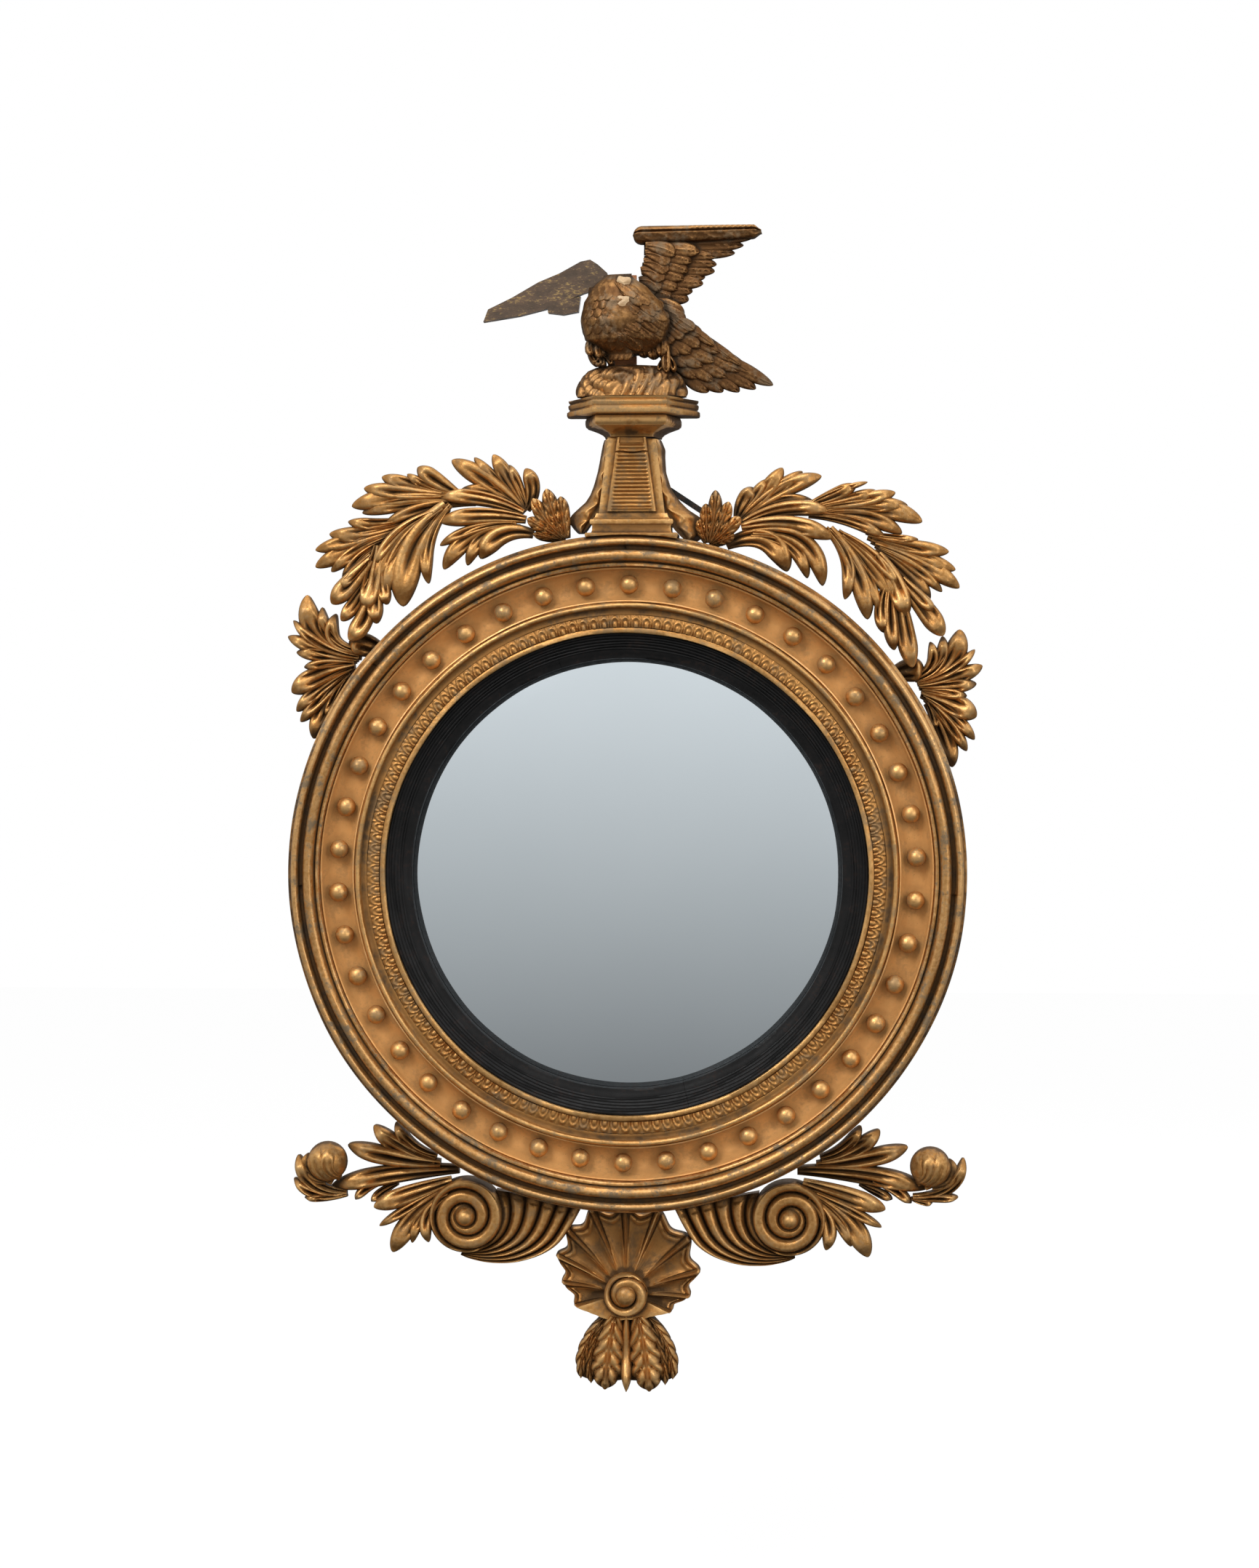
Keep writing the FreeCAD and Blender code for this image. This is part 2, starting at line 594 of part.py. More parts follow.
def make_outer_moulding():
    """Four segments, butt jointed where the photograph shows joints."""
    inner = HOLLOW_INNER + " + Sizes.hollow_width"
    lip = inner + " + Sizes.outer_lip"
    reed = lip + " + Sizes.large_reed"
    quirk = reed + " + Sizes.quirk"
    last = quirk + " + Sizes.small_reed"
    edge = inner + " + Sizes.outer_width"
    back = "Sizes.carcass_depth"
    front = "Sizes.outer_front"
    floor = front + " - Sizes.quirk_depth"
    points = [
        (inner, back), (edge, back), (edge, front + " - Sizes.outer_bevel"), (last, front),
        (quirk, front), (quirk + " - 1", floor), (reed + " + 1", floor), (reed, front),
        (lip, front), (lip + " - 1.5", floor), (inner, floor),
    ]
    arcs = {
        3: ("Sizes.small_reed / 2 + 0.1", 1),
        7: ("Sizes.large_reed / 2 + 0.1", 1),
    }
    joints = [-3, 90, 140, 182, 357]
    names = ["upper_right", "upper_left", "left", "lower"]
    for index, name in enumerate(names):
        turn = str(joints[index + 1] - joints[index])
        body = ring("outer_moulding_" + name, points, arcs, joints[index], turn)
        keep(body, "outer_moulding_" + name)


def make_cavetto():
    """The hollow ring, with a drilled hole for the peg of each ball."""
    inner = HOLLOW_INNER
    outer = inner + " + Sizes.hollow_width"
    back = "Sizes.carcass_depth"
    edge = "Sizes.hollow_edge"
    lip = edge + " + 6"
    points = [
        (inner, back), (outer, back), (outer, lip), (outer + " - Sizes.hollow_lip", edge),
        (inner + " + Sizes.hollow_lip", edge), (inner, lip),
    ]
    blank = ring("cavetto_blank", points, {3: ("Sizes.hollow_curve", -1)})
    grown = size("fit_gap") / 2
    radius = size("peg_radius") + grown
    length = size("peg_length") + grown
    drills = [peg(centre, radius, length) for centre in ball_centres()]
    keep(cut("cavetto", blank, shaped("peg_holes", Part.makeCompound(drills))), "cavetto_ring")


def ball_centres():
    step = 360 / size("ball_count")
    turns = [size("first_ball_deg") - index * step for index in range(int(size("ball_count")))]
    middle = worked_out(HOLLOW_INNER + " + Sizes.hollow_width / 2")
    return [on_ring(middle, degrees, size("ball_depth")) for degrees in turns]


def peg(centre, radius, length):
    return Part.makeCylinder(radius, length, centre, Vector(0, 1, 0))


def make_balls():
    """Turned balls, each with a peg at its back."""
    studs = []
    for centre in ball_centres():
        ball = Part.makeSphere(size("ball_radius"), centre)
        studs.append(ball.fuse(peg(centre, size("peg_radius"), size("peg_length"))))
    keep(shaped("balls", Part.makeCompound(studs)), "ball_studs")


def make_inner_moulding():
    inner = "Sizes.sight_radius + Sizes.slip_width"
    fillet = inner + " + Sizes.inner_fillet"
    band = fillet + " + Sizes.band_width"
    outer = HOLLOW_INNER
    reed = outer + " - Sizes.reed_width"
    back = "Sizes.carcass_depth"
    front = "Sizes.inner_front"
    points = [
        (inner, back), (outer, back), (outer, front), (reed, front), (reed, front + " - 2"),
        (band, front + " - 2"), (band, "Sizes.band_floor"), (fillet, "Sizes.band_floor"),
        (fillet, front), (inner, front),
    ]
    keep(ring("inner_moulding", points, {2: ("Sizes.reed_width / 2 + 0.1", 1)}), "inner_moulding")


def make_leaf_band():
    inner = "Sizes.sight_radius + Sizes.slip_width + Sizes.inner_fillet + Sizes.fit_gap"
    outer = inner + " + Sizes.band_width - 2 * Sizes.fit_gap"
    floor = "Sizes.band_floor"
    shoulder = floor + " + 4"
    points = [(inner, floor), (outer, floor), (outer, shoulder), (inner, shoulder)]
    keep(ring("leaf_band", points, {2: ("Sizes.band_crown", 1)}), "leaf_ornament_band")


def make_slip():
    """Two halves; the back is relieved over the rim of the convex plate."""
    inner = "Sizes.sight_radius"
    seat = BORE
    outer = "Sizes.sight_radius + Sizes.slip_width"
    back = "Sizes.carcass_depth"
    relief = back + " + Sizes.slip_rebate"
    front = "Sizes.slip_front"
    sloped = front + " - Sizes.slip_slope"
    points = [
        (inner, relief), (seat, relief), (seat, back), (outer, back), (outer, front),
        (inner + " + 2", sloped), (inner, sloped + " - 3"),
    ]
    upper = size("slip_joint_upper_deg")
    lower = size("slip_joint_lower_deg")
    left_turn = "Sizes.slip_joint_lower_deg - Sizes.slip_joint_upper_deg"
    keep(ring("slip_left", points, None, upper, left_turn), "ebonised_slip_left")
    keep(ring("slip_right", points, None, lower, "360 - (" + left_turn + ")"), "ebonised_slip_right")


def make_plate():
    """A shallow dome of even thickness."""
    rim = size("carcass_depth") - size("fit_gap")
    reach = worked_out(BORE) - size("plate_gap")
    bulge = size("plate_bulge")
    curve = (reach * reach + bulge * bulge) / (2 * bulge)
    centre = Vector(0, -(rim + bulge - curve), 0)
    outer = Part.makeSphere(curve, centre)
    inner = Part.makeSphere(curve - size("plate_thickness"), centre)
    blank = disc(reach, rim - size("plate_thickness"), rim + bulge + 1)
    dome = outer.cut(inner).common(blank)
    keep(shaped("plate", dome), "mirror_plate")


def make_plate_blocks():
    """Glue blocks between the backboard and the back of the plate, on the bore of the carcass."""
    back = size("back_thickness") + size("fit_gap")
    front = size("carcass_depth") - 2 * size("fit_gap") - size("plate_thickness") - 1.5
    outer = worked_out(BORE) - size("fit_gap")
    rim = disc(outer, back, front).cut(disc(outer - size("block_width"), back - 1, front + 1))
    pieces = []
    for index in range(int(size("block_count"))):
        half = size("block_length") / 2
        bar = block(outer - 2 * size("block_width"), outer + 1, -half, half, back - 1, front + 1)
        bar.rotate(Vector(), TO_FRONT, (index + 0.5) * 360 / size("block_count"))
        pieces.append(rim.common(bar))
    keep(shaped("blocks", Part.makeCompound(pieces)), "plate_blocks")


def screw(point, radius, head, length):
    """A countersunk wood screw with its head's face on the point, driven to the front."""
    taper = Part.makeCone(head, radius, size("screw_head_depth"), point, TO_FRONT)
    shank = Part.makeCylinder(radius, length, point, TO_FRONT)
    return taper.fuse(shank)


def back_screw_points():
    between = (worked_out(REBATE) + worked_out(BORE)) / 2
    count = int(size("back_screw_count"))
    return [on_ring(between, (index + 0.5) * 360 / count, size("fit_gap")) for index in range(count)]


def screw_tool():
    """The holes of the backboard screws, in the backboard and in the carcass."""
    grown = size("fit_gap") / 3
    radius = size("screw_radius") + grown
    head = size("screw_head") + grown
    holes = [screw(point, radius, head, size("screw_length") + grown) for point in back_screw_points()]
    mouths = [Part.makeCylinder(head, 1, point - TO_FRONT, TO_FRONT) for point in back_screw_points()]
    return Part.makeCompound([hole.fuse(mouth) for hole, mouth in zip(holes, mouths)])


def make_backboard():
    blank = doc.addObject("Part::Cylinder", "backboard_blank")
    blank.setExpression("Radius", REBATE + " - Sizes.fit_gap")
    blank.setExpression("Height", "Sizes.back_thickness")
    blank.Placement = Placement(Vector(), FRONTWARD)
    keep(cut("backboard", blank, shaped("backboard_holes", screw_tool())), "backboard")


def make_screws():
    """All the wood screws: of the backboard, the hangers and the back strap."""
    shank = size("screw_radius")
    head = size("screw_head")
    short = size("screw_length") - 4
    screws = [screw(point, shank, head, size("screw_length")) for point in back_screw_points()]
    screws += [screw(point, shank, head, short) for point in hanger_screw_points()]
    screws += [screw(point, shank, head, size("screw_length") - 1) for point in strap_screw_points()]
    keep(shaped("screws", Part.makeCompound(screws)), "wood_screws")


# ---- hangers ----

def hanger_pivots():
    """The middles of the two hinge bars, left and right."""
    middle = (worked_out(BORE) + worked_out(CARCASS_EDGE)) / 2 + size("hanger_out")
    turns = (180 - size("hanger_deg"), size("hanger_deg"))
    return [on_ring(middle, degrees, size("hanger_pivot_depth")) for degrees in turns]


def hanger_screw_points():
    depth = size("hanger_recess_depth") - size("hanger_plate_thickness")
    rise = size("hanger_plate_height") * 0.65
    return [Vector(pivot.x, -depth, pivot.z + rise) for pivot in hanger_pivots()]


def hanger_plate(pivot):
    """A plate on the floor of its recess, with a knuckle around the ring's bar."""
    middle = pivot.x
    floor = size("hanger_recess_depth")
    half = size("hanger_plate_width") / 2
    thickness = size("hanger_plate_thickness")
    foot = pivot.z - size("knuckle_radius") / 2
    top = pivot.z + size("hanger_plate_height")
    plate = block(middle - half, middle + half, foot, top, floor - thickness, floor)
    across = Vector(1, 0, 0)
    start = pivot - across * half
    knuckle = Part.makeCylinder(size("knuckle_radius"), 2 * half, start, across)
    web_top = pivot.z + size("knuckle_radius")
    web = block(middle - half, middle + half, foot, web_top, size("hanger_pivot_depth"), floor)
    bore = Part.makeCylinder(size("ring_wire") + size("running_gap"), 2 * half + 2, start - across, across)
    return plate.fuse(knuckle).fuse(web).cut(bore).cut(hanger_holes()).removeSplitter()


def hanger_holes():
    grown = size("fit_gap") / 3
    radius = size("screw_radius") + grown
    head = size("screw_head") + grown
    length = size("screw_length") - 4 + grown
    return Part.makeCompound([screw(point, radius, head, length) for point in hanger_screw_points()])


def hanging_ring(pivot):
    """A straight bar along X with a half round hanging under it, of one wire."""
    wire = size("ring_wire")
    bend = size("ring_radius") + wire
    across = Vector(1, 0, 0)
    bar = Part.makeCylinder(wire, 2 * bend, pivot - across * bend, across)
    below = Part.makeBox(4 * bend, 4 * wire, 2 * bend, pivot - Vector(2 * bend, 2 * wire, 2 * bend))
    loop = Part.makeTorus(bend, wire, pivot, TO_FRONT).common(below)
    corners = [Part.makeSphere(wire, pivot - across * bend), Part.makeSphere(wire, pivot + across * bend)]
    return bar.multiFuse([loop] + corners)


def make_hangers():
    """Two plates in recesses of the carcass, each with a ring that swings in its knuckle."""
    plates = []
    for pivot, name in zip(hanger_pivots(), ("left", "right")):
        plates.append(hanger_plate(pivot))
        keep(shaped("hanging_ring_" + name, hanging_ring(pivot)), "hanging_ring_" + name)
    keep(shaped("hanger_plates", Part.makeCompound(plates)), "hanger_plates")


# ---- plinth and its strap ----

def strap_screw_points():
    low = strap_ends()[0]
    heights = (low + 12, low + 34, worked_out(BASE_TOP) + 14, worked_out(SHAFT_TOP) - 14)
    return [Vector(size("plinth_x"), -size("fit_gap"), height) for height in heights]


def strap_holes():
    grown = size("fit_gap") / 3
    head = size("screw_head") + grown
    return [screw(p, size("screw_radius") + grown, head, size("screw_length")) for p in strap_screw_points()]


def make_strap():
    left = size("plinth_x") - size("strap_width") / 2
    back = size("fit_gap")
    low, high = strap_ends()
    bar = block(left, left + size("strap_width"), low, high, back, back + size("strap_thickness"))
    keep(shaped("back_strap", bar.cut(Part.makeCompound(strap_holes()))), "crest_back_strap")


def centred(half, side):
    return "Sizes.plinth_x " + side + " (" + half + ")"


def box_steps():
    """The steps of the base as blocks: half width, bottom and top."""
    wide = size("base_half_width")
    narrow = wide - size("step_setback")
    top = worked_out(BASE_TOP)
    low = top - 2 * size("step_height") - size("step_between")
    middle = low + size("step_height")
    high = middle + size("step_between")
    rows = [
        (wide, low - size("foot_height"), low),
        (narrow, low, middle),
        (narrow + 1.5, middle, high),
        (narrow - 5, high, top),
    ]
    pieces = []
    for half, bottom, top in rows:
        front = size("plinth_front") - (wide - half)
        left = size("plinth_x") - half
        pieces.append(block(left, left + 2 * half, bottom, top, size("plinth_back"), front))
    return pieces[0].multiFuse(pieces[1:]).removeSplitter()


def frame_radius():
    return worked_out(FRAME_EDGE)


def around_frame():
    """The space that the round frame takes, with a fit gap; carved work is cut back to it."""
    gap = size("fit_gap")
    whole = disc(frame_radius() + gap, size("carcass_depth") - gap, 200)
    return whole.fuse(disc(worked_out(CARCASS_EDGE) + gap, -10, 200))


def make_plinth():
    screws = Part.makeCompound(strap_holes())
    base = box_steps().cut(disc(frame_radius() + size("fit_gap"), -10, 200)).cut(screws)
    keep(shaped("plinth_base", base), "plinth_base")
    foot_left = centred("Sizes.shaft_half_bottom", "-")
    foot_right = centred("Sizes.shaft_half_bottom", "+")
    head_left = centred("Sizes.shaft_half_top", "-")
    head_right = centred("Sizes.shaft_half_top", "+")
    points = [
        (foot_left, BASE_TOP), (foot_right, BASE_TOP),
        (head_right, SHAFT_TOP), (head_left, SHAFT_TOP),
    ]
    blank = panel("shaft_blank", points, "Sizes.plinth_back", "Sizes.shaft_front")
    keep(cut("shaft", blank, shaped("shaft_holes", screws)), "plinth_shaft")
    panel_points = [
        (centred("Sizes.panel_half_bottom", "-"), BASE_TOP),
        (centred("Sizes.panel_half_bottom", "+"), BASE_TOP),
        (centred("Sizes.panel_half_top", "+"), SHAFT_TOP),
        (centred("Sizes.panel_half_top", "-"), SHAFT_TOP),
    ]
    proud = "Sizes.shaft_front + Sizes.panel_proud"
    keep(panel("reeded_panel", panel_points, "Sizes.shaft_front", proud), "reeded_panel")


def canted(half_back, half_front, back, front):
    """A plan with a narrow front facet and slanting sides."""
    middle_depth = "(" + back + ") + Sizes.cant_depth"
    return [
        (centred(half_back, "-"), "-(" + back + ")"), (centred(half_back, "-"), "-(" + middle_depth + ")"),
        (centred(half_front, "-"), "-(" + front + ")"), (centred(half_front, "+"), "-(" + front + ")"),
        (centred(half_back, "+"), "-(" + middle_depth + ")"), (centred(half_back, "+"), "-(" + back + ")"),
    ]


def make_capital():
    """A hollow that widens from the shaft, as a loft of canted plans, under the neck moulding."""
    rows = [(0, 0.0), (0.3, 0.16), (0.65, 0.45), (1, 1.0)]
    back = size("plinth_back")
    cant = back + size("cant_depth")
    middle = size("plinth_x")
    narrow = size("shaft_half_top") + 4
    shallow = size("shaft_front") + 5
    wires = []
    for rise, spread in rows:
        height = worked_out(SHAFT_TOP) + rise * size("capital_height")
        half = narrow + spread * (size("neck_half_width") - 2 - narrow)
        facet = half * NECK_FACET
        front = shallow + spread * (size("neck_front") - 2 - shallow)
        corners = [
            (middle - half, back), (middle - half, cant), (middle - facet, front),
            (middle + facet, front), (middle + half, cant), (middle + half, back),
        ]
        points = [Vector(across, -depth, height) for across, depth in corners]
        wires.append(Part.makePolygon(points + [points[0]]))
    facet_half = "Sizes.neck_half_width * %s" % NECK_FACET
    neck = canted("Sizes.neck_half_width", facet_half, "Sizes.plinth_back", "Sizes.neck_front")
    neck_body = slab("neck", neck, SHAFT_TOP + " + Sizes.capital_height", "Sizes.neck_height")
    capital = doc.addObject("Part::Fuse", "capital")
    capital.Base = shaped("hollow", Part.makeLoft(wires, True, True))
    capital.Tool = neck_body
    keep(capital, "capital")


def make_abacus():
    top = SHAFT_TOP + " + Sizes.capital_height + Sizes.neck_height"
    half = "Sizes.abacus_half_width"
    plan = canted(half, "Sizes.abacus_facet_half", "Sizes.plinth_back", "Sizes.abacus_front")
    keep(slab("abacus", plan, top, "Sizes.abacus_height"), "abacus")


def abacus_top():
    neck = worked_out(SHAFT_TOP) + size("capital_height")
    return neck + size("neck_height") + size("abacus_height")


# ---- carved work ----

def spline_face(points, depth):
    """A face in the XZ plane at a depth, inside one closed smooth curve through the points."""
    curve = Part.BSplineCurve()
    curve.interpolate([Vector(x, -depth, z) for x, z in points], PeriodicFlag=True)
    return Part.Face(Part.Wire(curve.toShape()))


def polygon_face(points, depth):
    corners = [Vector(x, -depth, z) for x, z in points]
    return Part.Face(Part.makePolygon(corners + [corners[0]]))


def prism(face, thickness):
    return face.extrude(TO_FRONT * thickness)


def tongue_outline(root, middle, tip, width):
    """Points around a tongue: the centre line goes through three points, the end is round."""
    first = math.hypot(middle[0] - root[0], middle[1] - root[1])
    second = math.hypot(tip[0] - middle[0], tip[1] - middle[1])
    turn = first / (first + second)
    left = []
    right = []
    for step in (0.0, 0.25, 0.5, 0.7, 0.84, 0.94, 0.99):
        weight_root = (step - turn) * (step - 1) / turn
        weight_middle = step * (step - 1) / (turn * (turn - 1))
        weight_tip = step * (step - turn) / (1 - turn)
        slope_root = (2 * step - 1 - turn) / turn
        slope_middle = (2 * step - 1) / (turn * (turn - 1))
        slope_tip = (2 * step - turn) / (1 - turn)
        x = weight_root * root[0] + weight_middle * middle[0] + weight_tip * tip[0]
        z = weight_root * root[1] + weight_middle * middle[1] + weight_tip * tip[1]
        along_x = slope_root * root[0] + slope_middle * middle[0] + slope_tip * tip[0]
        along_z = slope_root * root[1] + slope_middle * middle[1] + slope_tip * tip[1]
        length = math.hypot(along_x, along_z)
        swell = 0.45 + 0.55 * math.sin(math.pi / 2 * min(step / 0.7, 1))
        rounding = math.sqrt(max(1 - max(0, (step - 0.72) / 0.28) ** 2, 0))
        half = width / 2 * swell * rounding
        left.append((x - along_z / length * half, z + along_x / length * half))
        right.append((x + along_z / length * half, z - along_x / length * half))
    return left + [tip] + right[::-1]


def tongue_face(row, depth):
    points = tongue_outline(row[0:2], row[2:4], row[4:6], row[6])
    curve = Part.BSplineCurve()
    curve.interpolate([Vector(x, -depth, z) for x, z in points])
    closing = Part.LineSegment(curve.EndPoint, curve.StartPoint)
    return Part.Face(Part.Wire([curve.toShape(), closing.toShape()]))


def tongues(rows, depth, thickness):
    """All tongues of a leaf in one piece: joined as faces first, then given their thickness."""
    faces = [tongue_face(row, depth) for row in rows]
    joined = faces[0].multiFuse(faces[1:]).removeSplitter()
    return largest(prism(joined, thickness))


def largest(shape):
    return max(shape.Solids, key=lambda solid: solid.Volume)


def carving_scale():
    """Carving around the frame grows with it."""
    return frame_radius() / DRAWN_RADIUS


def scaled(rows):
    """Rows of numbers of an outline that lies around the frame, at the frame's real radius."""
    scale = carving_scale()
    return [tuple(number * scale for number in row) for row in rows]


def raised(points):
    """An outline that stands on top of the frame, lifted to the frame's real radius."""
    lift = frame_radius() - DRAWN_RADIUS
    return [(x, z + lift) for x, z in points]


def leaf(label, rows, back_layer, layers, away=()):
    """One carved leaf: all its tongues joined, between two layers, cut back to its neighbours."""
    depth = size("carving_back") + back_layer * size("leaf_layer")
    thickness = layers * size("leaf_layer")
    shape = tongues(scaled(rows), depth, thickness).cut(around_frame())
    for neighbour in away:
        shape = shape.cut(neighbour.Shape)
    solid = largest(shape).removeSplitter()
    return keep(shaped(label, solid), label)


def outline_piece(label, face, thickness, away=()):
    shape = prism(face, thickness).cut(around_frame())
    for neighbour in away:
        shape = shape.cut(neighbour.Shape)
    return keep(shaped(label, largest(shape)), label)


def make_spray(side, tables):
    """The leaves beside the plinth. A layer number says which leaf lies in front of which."""
    rosette, top, main, under, drop, front, fan = tables
    rosette_leaf = leaf("rosette_" + side, rosette, 2.6, 1.6)
    leaf("main_leaf_" + side, main, 1, 1)
    leaf("top_leaf_" + side, top, 0, 1)
    under_leaf = leaf("under_leaf_" + side, under, 2, 1.4, (rosette_leaf,))
    drop_leaf = leaf("drop_leaf_" + side, drop, 2, 1, (under_leaf,))
    fan_leaf = leaf("fan_leaf_" + side, fan, 0, 2)
    leaf("front_leaf_" + side, front, 2, 1.4, (drop_leaf, fan_leaf))


def make_scrolls(side, lower, upper, calyx, outer_edge, top_edge, shell):
    """Volute with its gadrooned crescent, two leaves and a bud, under the frame."""
    sign = -1 if side == "left" else 1
    depth = size("carving_back")
    layer = size("leaf_layer")
    scale = carving_scale()
    centre = Vector(sign * VOLUTE_CENTRE[0], 0, VOLUTE_CENTRE[1]) * scale - Vector(0, depth, 0)
    turns = Part.makeCylinder(size("volute_radius") * scale, 3.2 * layer, centre, TO_FRONT)
    button = Part.makeCylinder(size("volute_boss"), 3.7 * layer, centre, TO_FRONT)
    volute = turns.fuse(button).cut(around_frame())
    volute = keep(shaped("volute_" + side, largest(volute)), "volute_scroll_" + side)
    crescent = crescent_face(scaled(outer_edge), scaled(top_edge), depth)
    outline_piece("gadroon_crescent_" + side, crescent, 2.2 * layer, (volute, shell))
    leaf("lower_leaf_" + side, lower, 2, 1, (volute,))
    bud = make_bud(side, sign, calyx)
    leaf("upper_leaf_" + side, upper, 0, 2, (volute, bud))


def crescent_face(outer_edge, top_edge, depth):
    """Between the smooth lower edge, the top edge under the frame, and the volute."""
    lower = Part.BSplineCurve()
    lower.interpolate([Vector(x, -depth, z) for x, z in outer_edge])
    corners = [Vector(x, -depth, z) for x, z in [outer_edge[-1]] + top_edge]
    upper = Part.makePolygon(corners)
    closing = Part.LineSegment(corners[-1], lower.StartPoint)
    return Part.Face(Part.Wire([lower.toShape()] + upper.Edges + [closing.toShape()]))


def make_bud(side, sign, calyx):
    """A round bud in a calyx of three leaves, at the end of the stem."""
    layer = size("leaf_layer")
    depth = size("carving_back") + 1.5 * layer
    scale = carving_scale()
    centre = Vector(sign * BUD_CENTRE[0], 0, BUD_CENTRE[1]) * scale - Vector(0, depth, 0)
    ball = Part.makeSphere(size("bud_radius"), centre)
    leaves = tongues(scaled(calyx), size("carving_back") + 0.6 * layer, 1.8 * layer)
    shape = ball.fuse(leaves)
    behind_wall = block(-1000, 1000, -1000, 1000, -100, size("fit_gap"))
    return keep(shaped("bud_" + side, largest(shape.cut(behind_wall))), "bud_" + side)


def shell_outline():
    """Scallops with valleys between them, as points around the shell's centre."""
    points = []
    count = len(SHELL_SCALLOPS)
    for index in range(count):
        angle, reach = SHELL_SCALLOPS[index]
        points.append((angle, reach))
        if index + 1 < count:
            next_angle, next_reach = SHELL_SCALLOPS[index + 1]
            points.append(((angle + next_angle) / 2, (reach + next_reach) / 2 * SHELL_VALLEY))
    first_angle, first_reach = SHELL_SCALLOPS[0]
    last_angle, last_reach = SHELL_SCALLOPS[-1]
    points.append((last_angle + 20, last_reach * 0.72))
    points.append((270, 29))
    points.append((first_angle + 340, first_reach * 0.72))
    places = []
    for angle, reach in points:
        turn = math.radians(angle)
        places.append((SHELL_CENTRE[0] + reach * math.cos(turn), SHELL_CENTRE[1] + reach * math.sin(turn)))
    return scaled(places)


def make_shell():
    layer = size("leaf_layer")
    depth = size("carving_back")
    face_depth = depth + 2 * layer
    face_centre = Vector(SHELL_CENTRE[0], 0, SHELL_CENTRE[1]) * carving_scale() + TO_FRONT * face_depth
    boss = Part.makeCylinder(size("shell_boss"), 1.3 * layer, face_centre, TO_FRONT)
    button = Part.makeCylinder(size("shell_button"), 1.8 * layer, face_centre, TO_FRONT)
    scallops = prism(spline_face(shell_outline(), depth), 2 * layer)
    whole = scallops.fuse(boss).fuse(button).cut(around_frame())
    shell = keep(shaped("shell", largest(whole)), "shell")
    outline_piece("leaf_pendant", pendant_face(depth), 2.6 * layer, (shell,))
    return shell


def pendant_face(depth):
    """Two smooth sides that spread downward, and the tips of the leaves between them."""
    side = Part.BSplineCurve()
    side.interpolate([Vector(x, -depth, z) for x, z in scaled(PENDANT_SIDE)])
    other = Part.BSplineCurve()
    other.interpolate([Vector(x, -depth, z) for x, z in scaled([(-x - 2, z) for x, z in PENDANT_SIDE])])
    corners = [side.EndPoint]
    for tip_x, tip_z, notch_x, notch_z in scaled(PENDANT_TIPS):
        corners.append(Vector(tip_x, -depth, tip_z))
        corners.append(Vector(notch_x, -depth, notch_z))
    corners[-1] = other.EndPoint
    tips = Part.makePolygon(corners)
    top = Part.LineSegment(other.StartPoint, side.StartPoint)
    return Part.Face(Part.Wire([side.toShape()] + tips.Edges + [other.toShape(), top.toShape()]))


def make_plinth_leaves():
    """Ruffled leaf edging on both slanting sides of the shaft, from the neck to the frame."""
    depth = size("carving_back")
    thickness = size("shaft_front") - 4 - depth
    edging = []
    for side, points in (("left", PLINTH_LEAF_LEFT), ("right", PLINTH_LEAF_RIGHT)):
        neighbours = ("plinth_base", "plinth_shaft", "reeded_panel", "capital", "rosette_" + side)
        away = [item for item in written if item.Label in neighbours]
        face = spline_face(raised(points), depth)
        edging.append(outline_piece("plinth_leaf_" + side, face, thickness, away))
    return edging


def make_brace(edging):
    """A black iron bar on the right, from the plinth down to the rosette."""
    depth = size("carving_back")
    start, end = [Vector(x, -depth, z) for x, z in raised(BRACE_ENDS)]
    along = (end - start).normalize()
    across = Vector(along.z, 0, -along.x) * (size("brace_width") / 2)
    corners = (start + across, end + across, end - across, start - across)
    face = polygon_face([(corner.x, corner.z) for corner in corners], depth)
    bar = prism(face, size("brace_thickness"))
    for neighbour in edging:
        bar = bar.cut(neighbour.Shape)
    keep(shaped("iron_brace", largest(bar)), "iron_brace_right")


def bird_body():
    """A loft of ellipses from the belly up to the neck stump."""
    sections = []
    for across, up, half_x, half_y in BODY_SECTIONS:
        centre = Vector(across, -size("eagle_depth"), up)
        ellipse = Part.Ellipse(centre, max(half_x, half_y), min(half_x, half_y))
        sections.append(Part.Wire(ellipse.toShape()))
    return Part.makeLoft(sections, True, False)


def bird_leg(leg_x, lean):
    """A thigh that widens upwards, on a claw."""
    middle = size("eagle_depth")
    thigh = Part.makeCone(7, 11, 34, Vector(leg_x, -middle, 520), Vector(lean, 0, 30))
    claw = block(leg_x - 12, leg_x + 12, 518, 533, middle - 12, middle + 16)
    return thigh.fuse(claw)


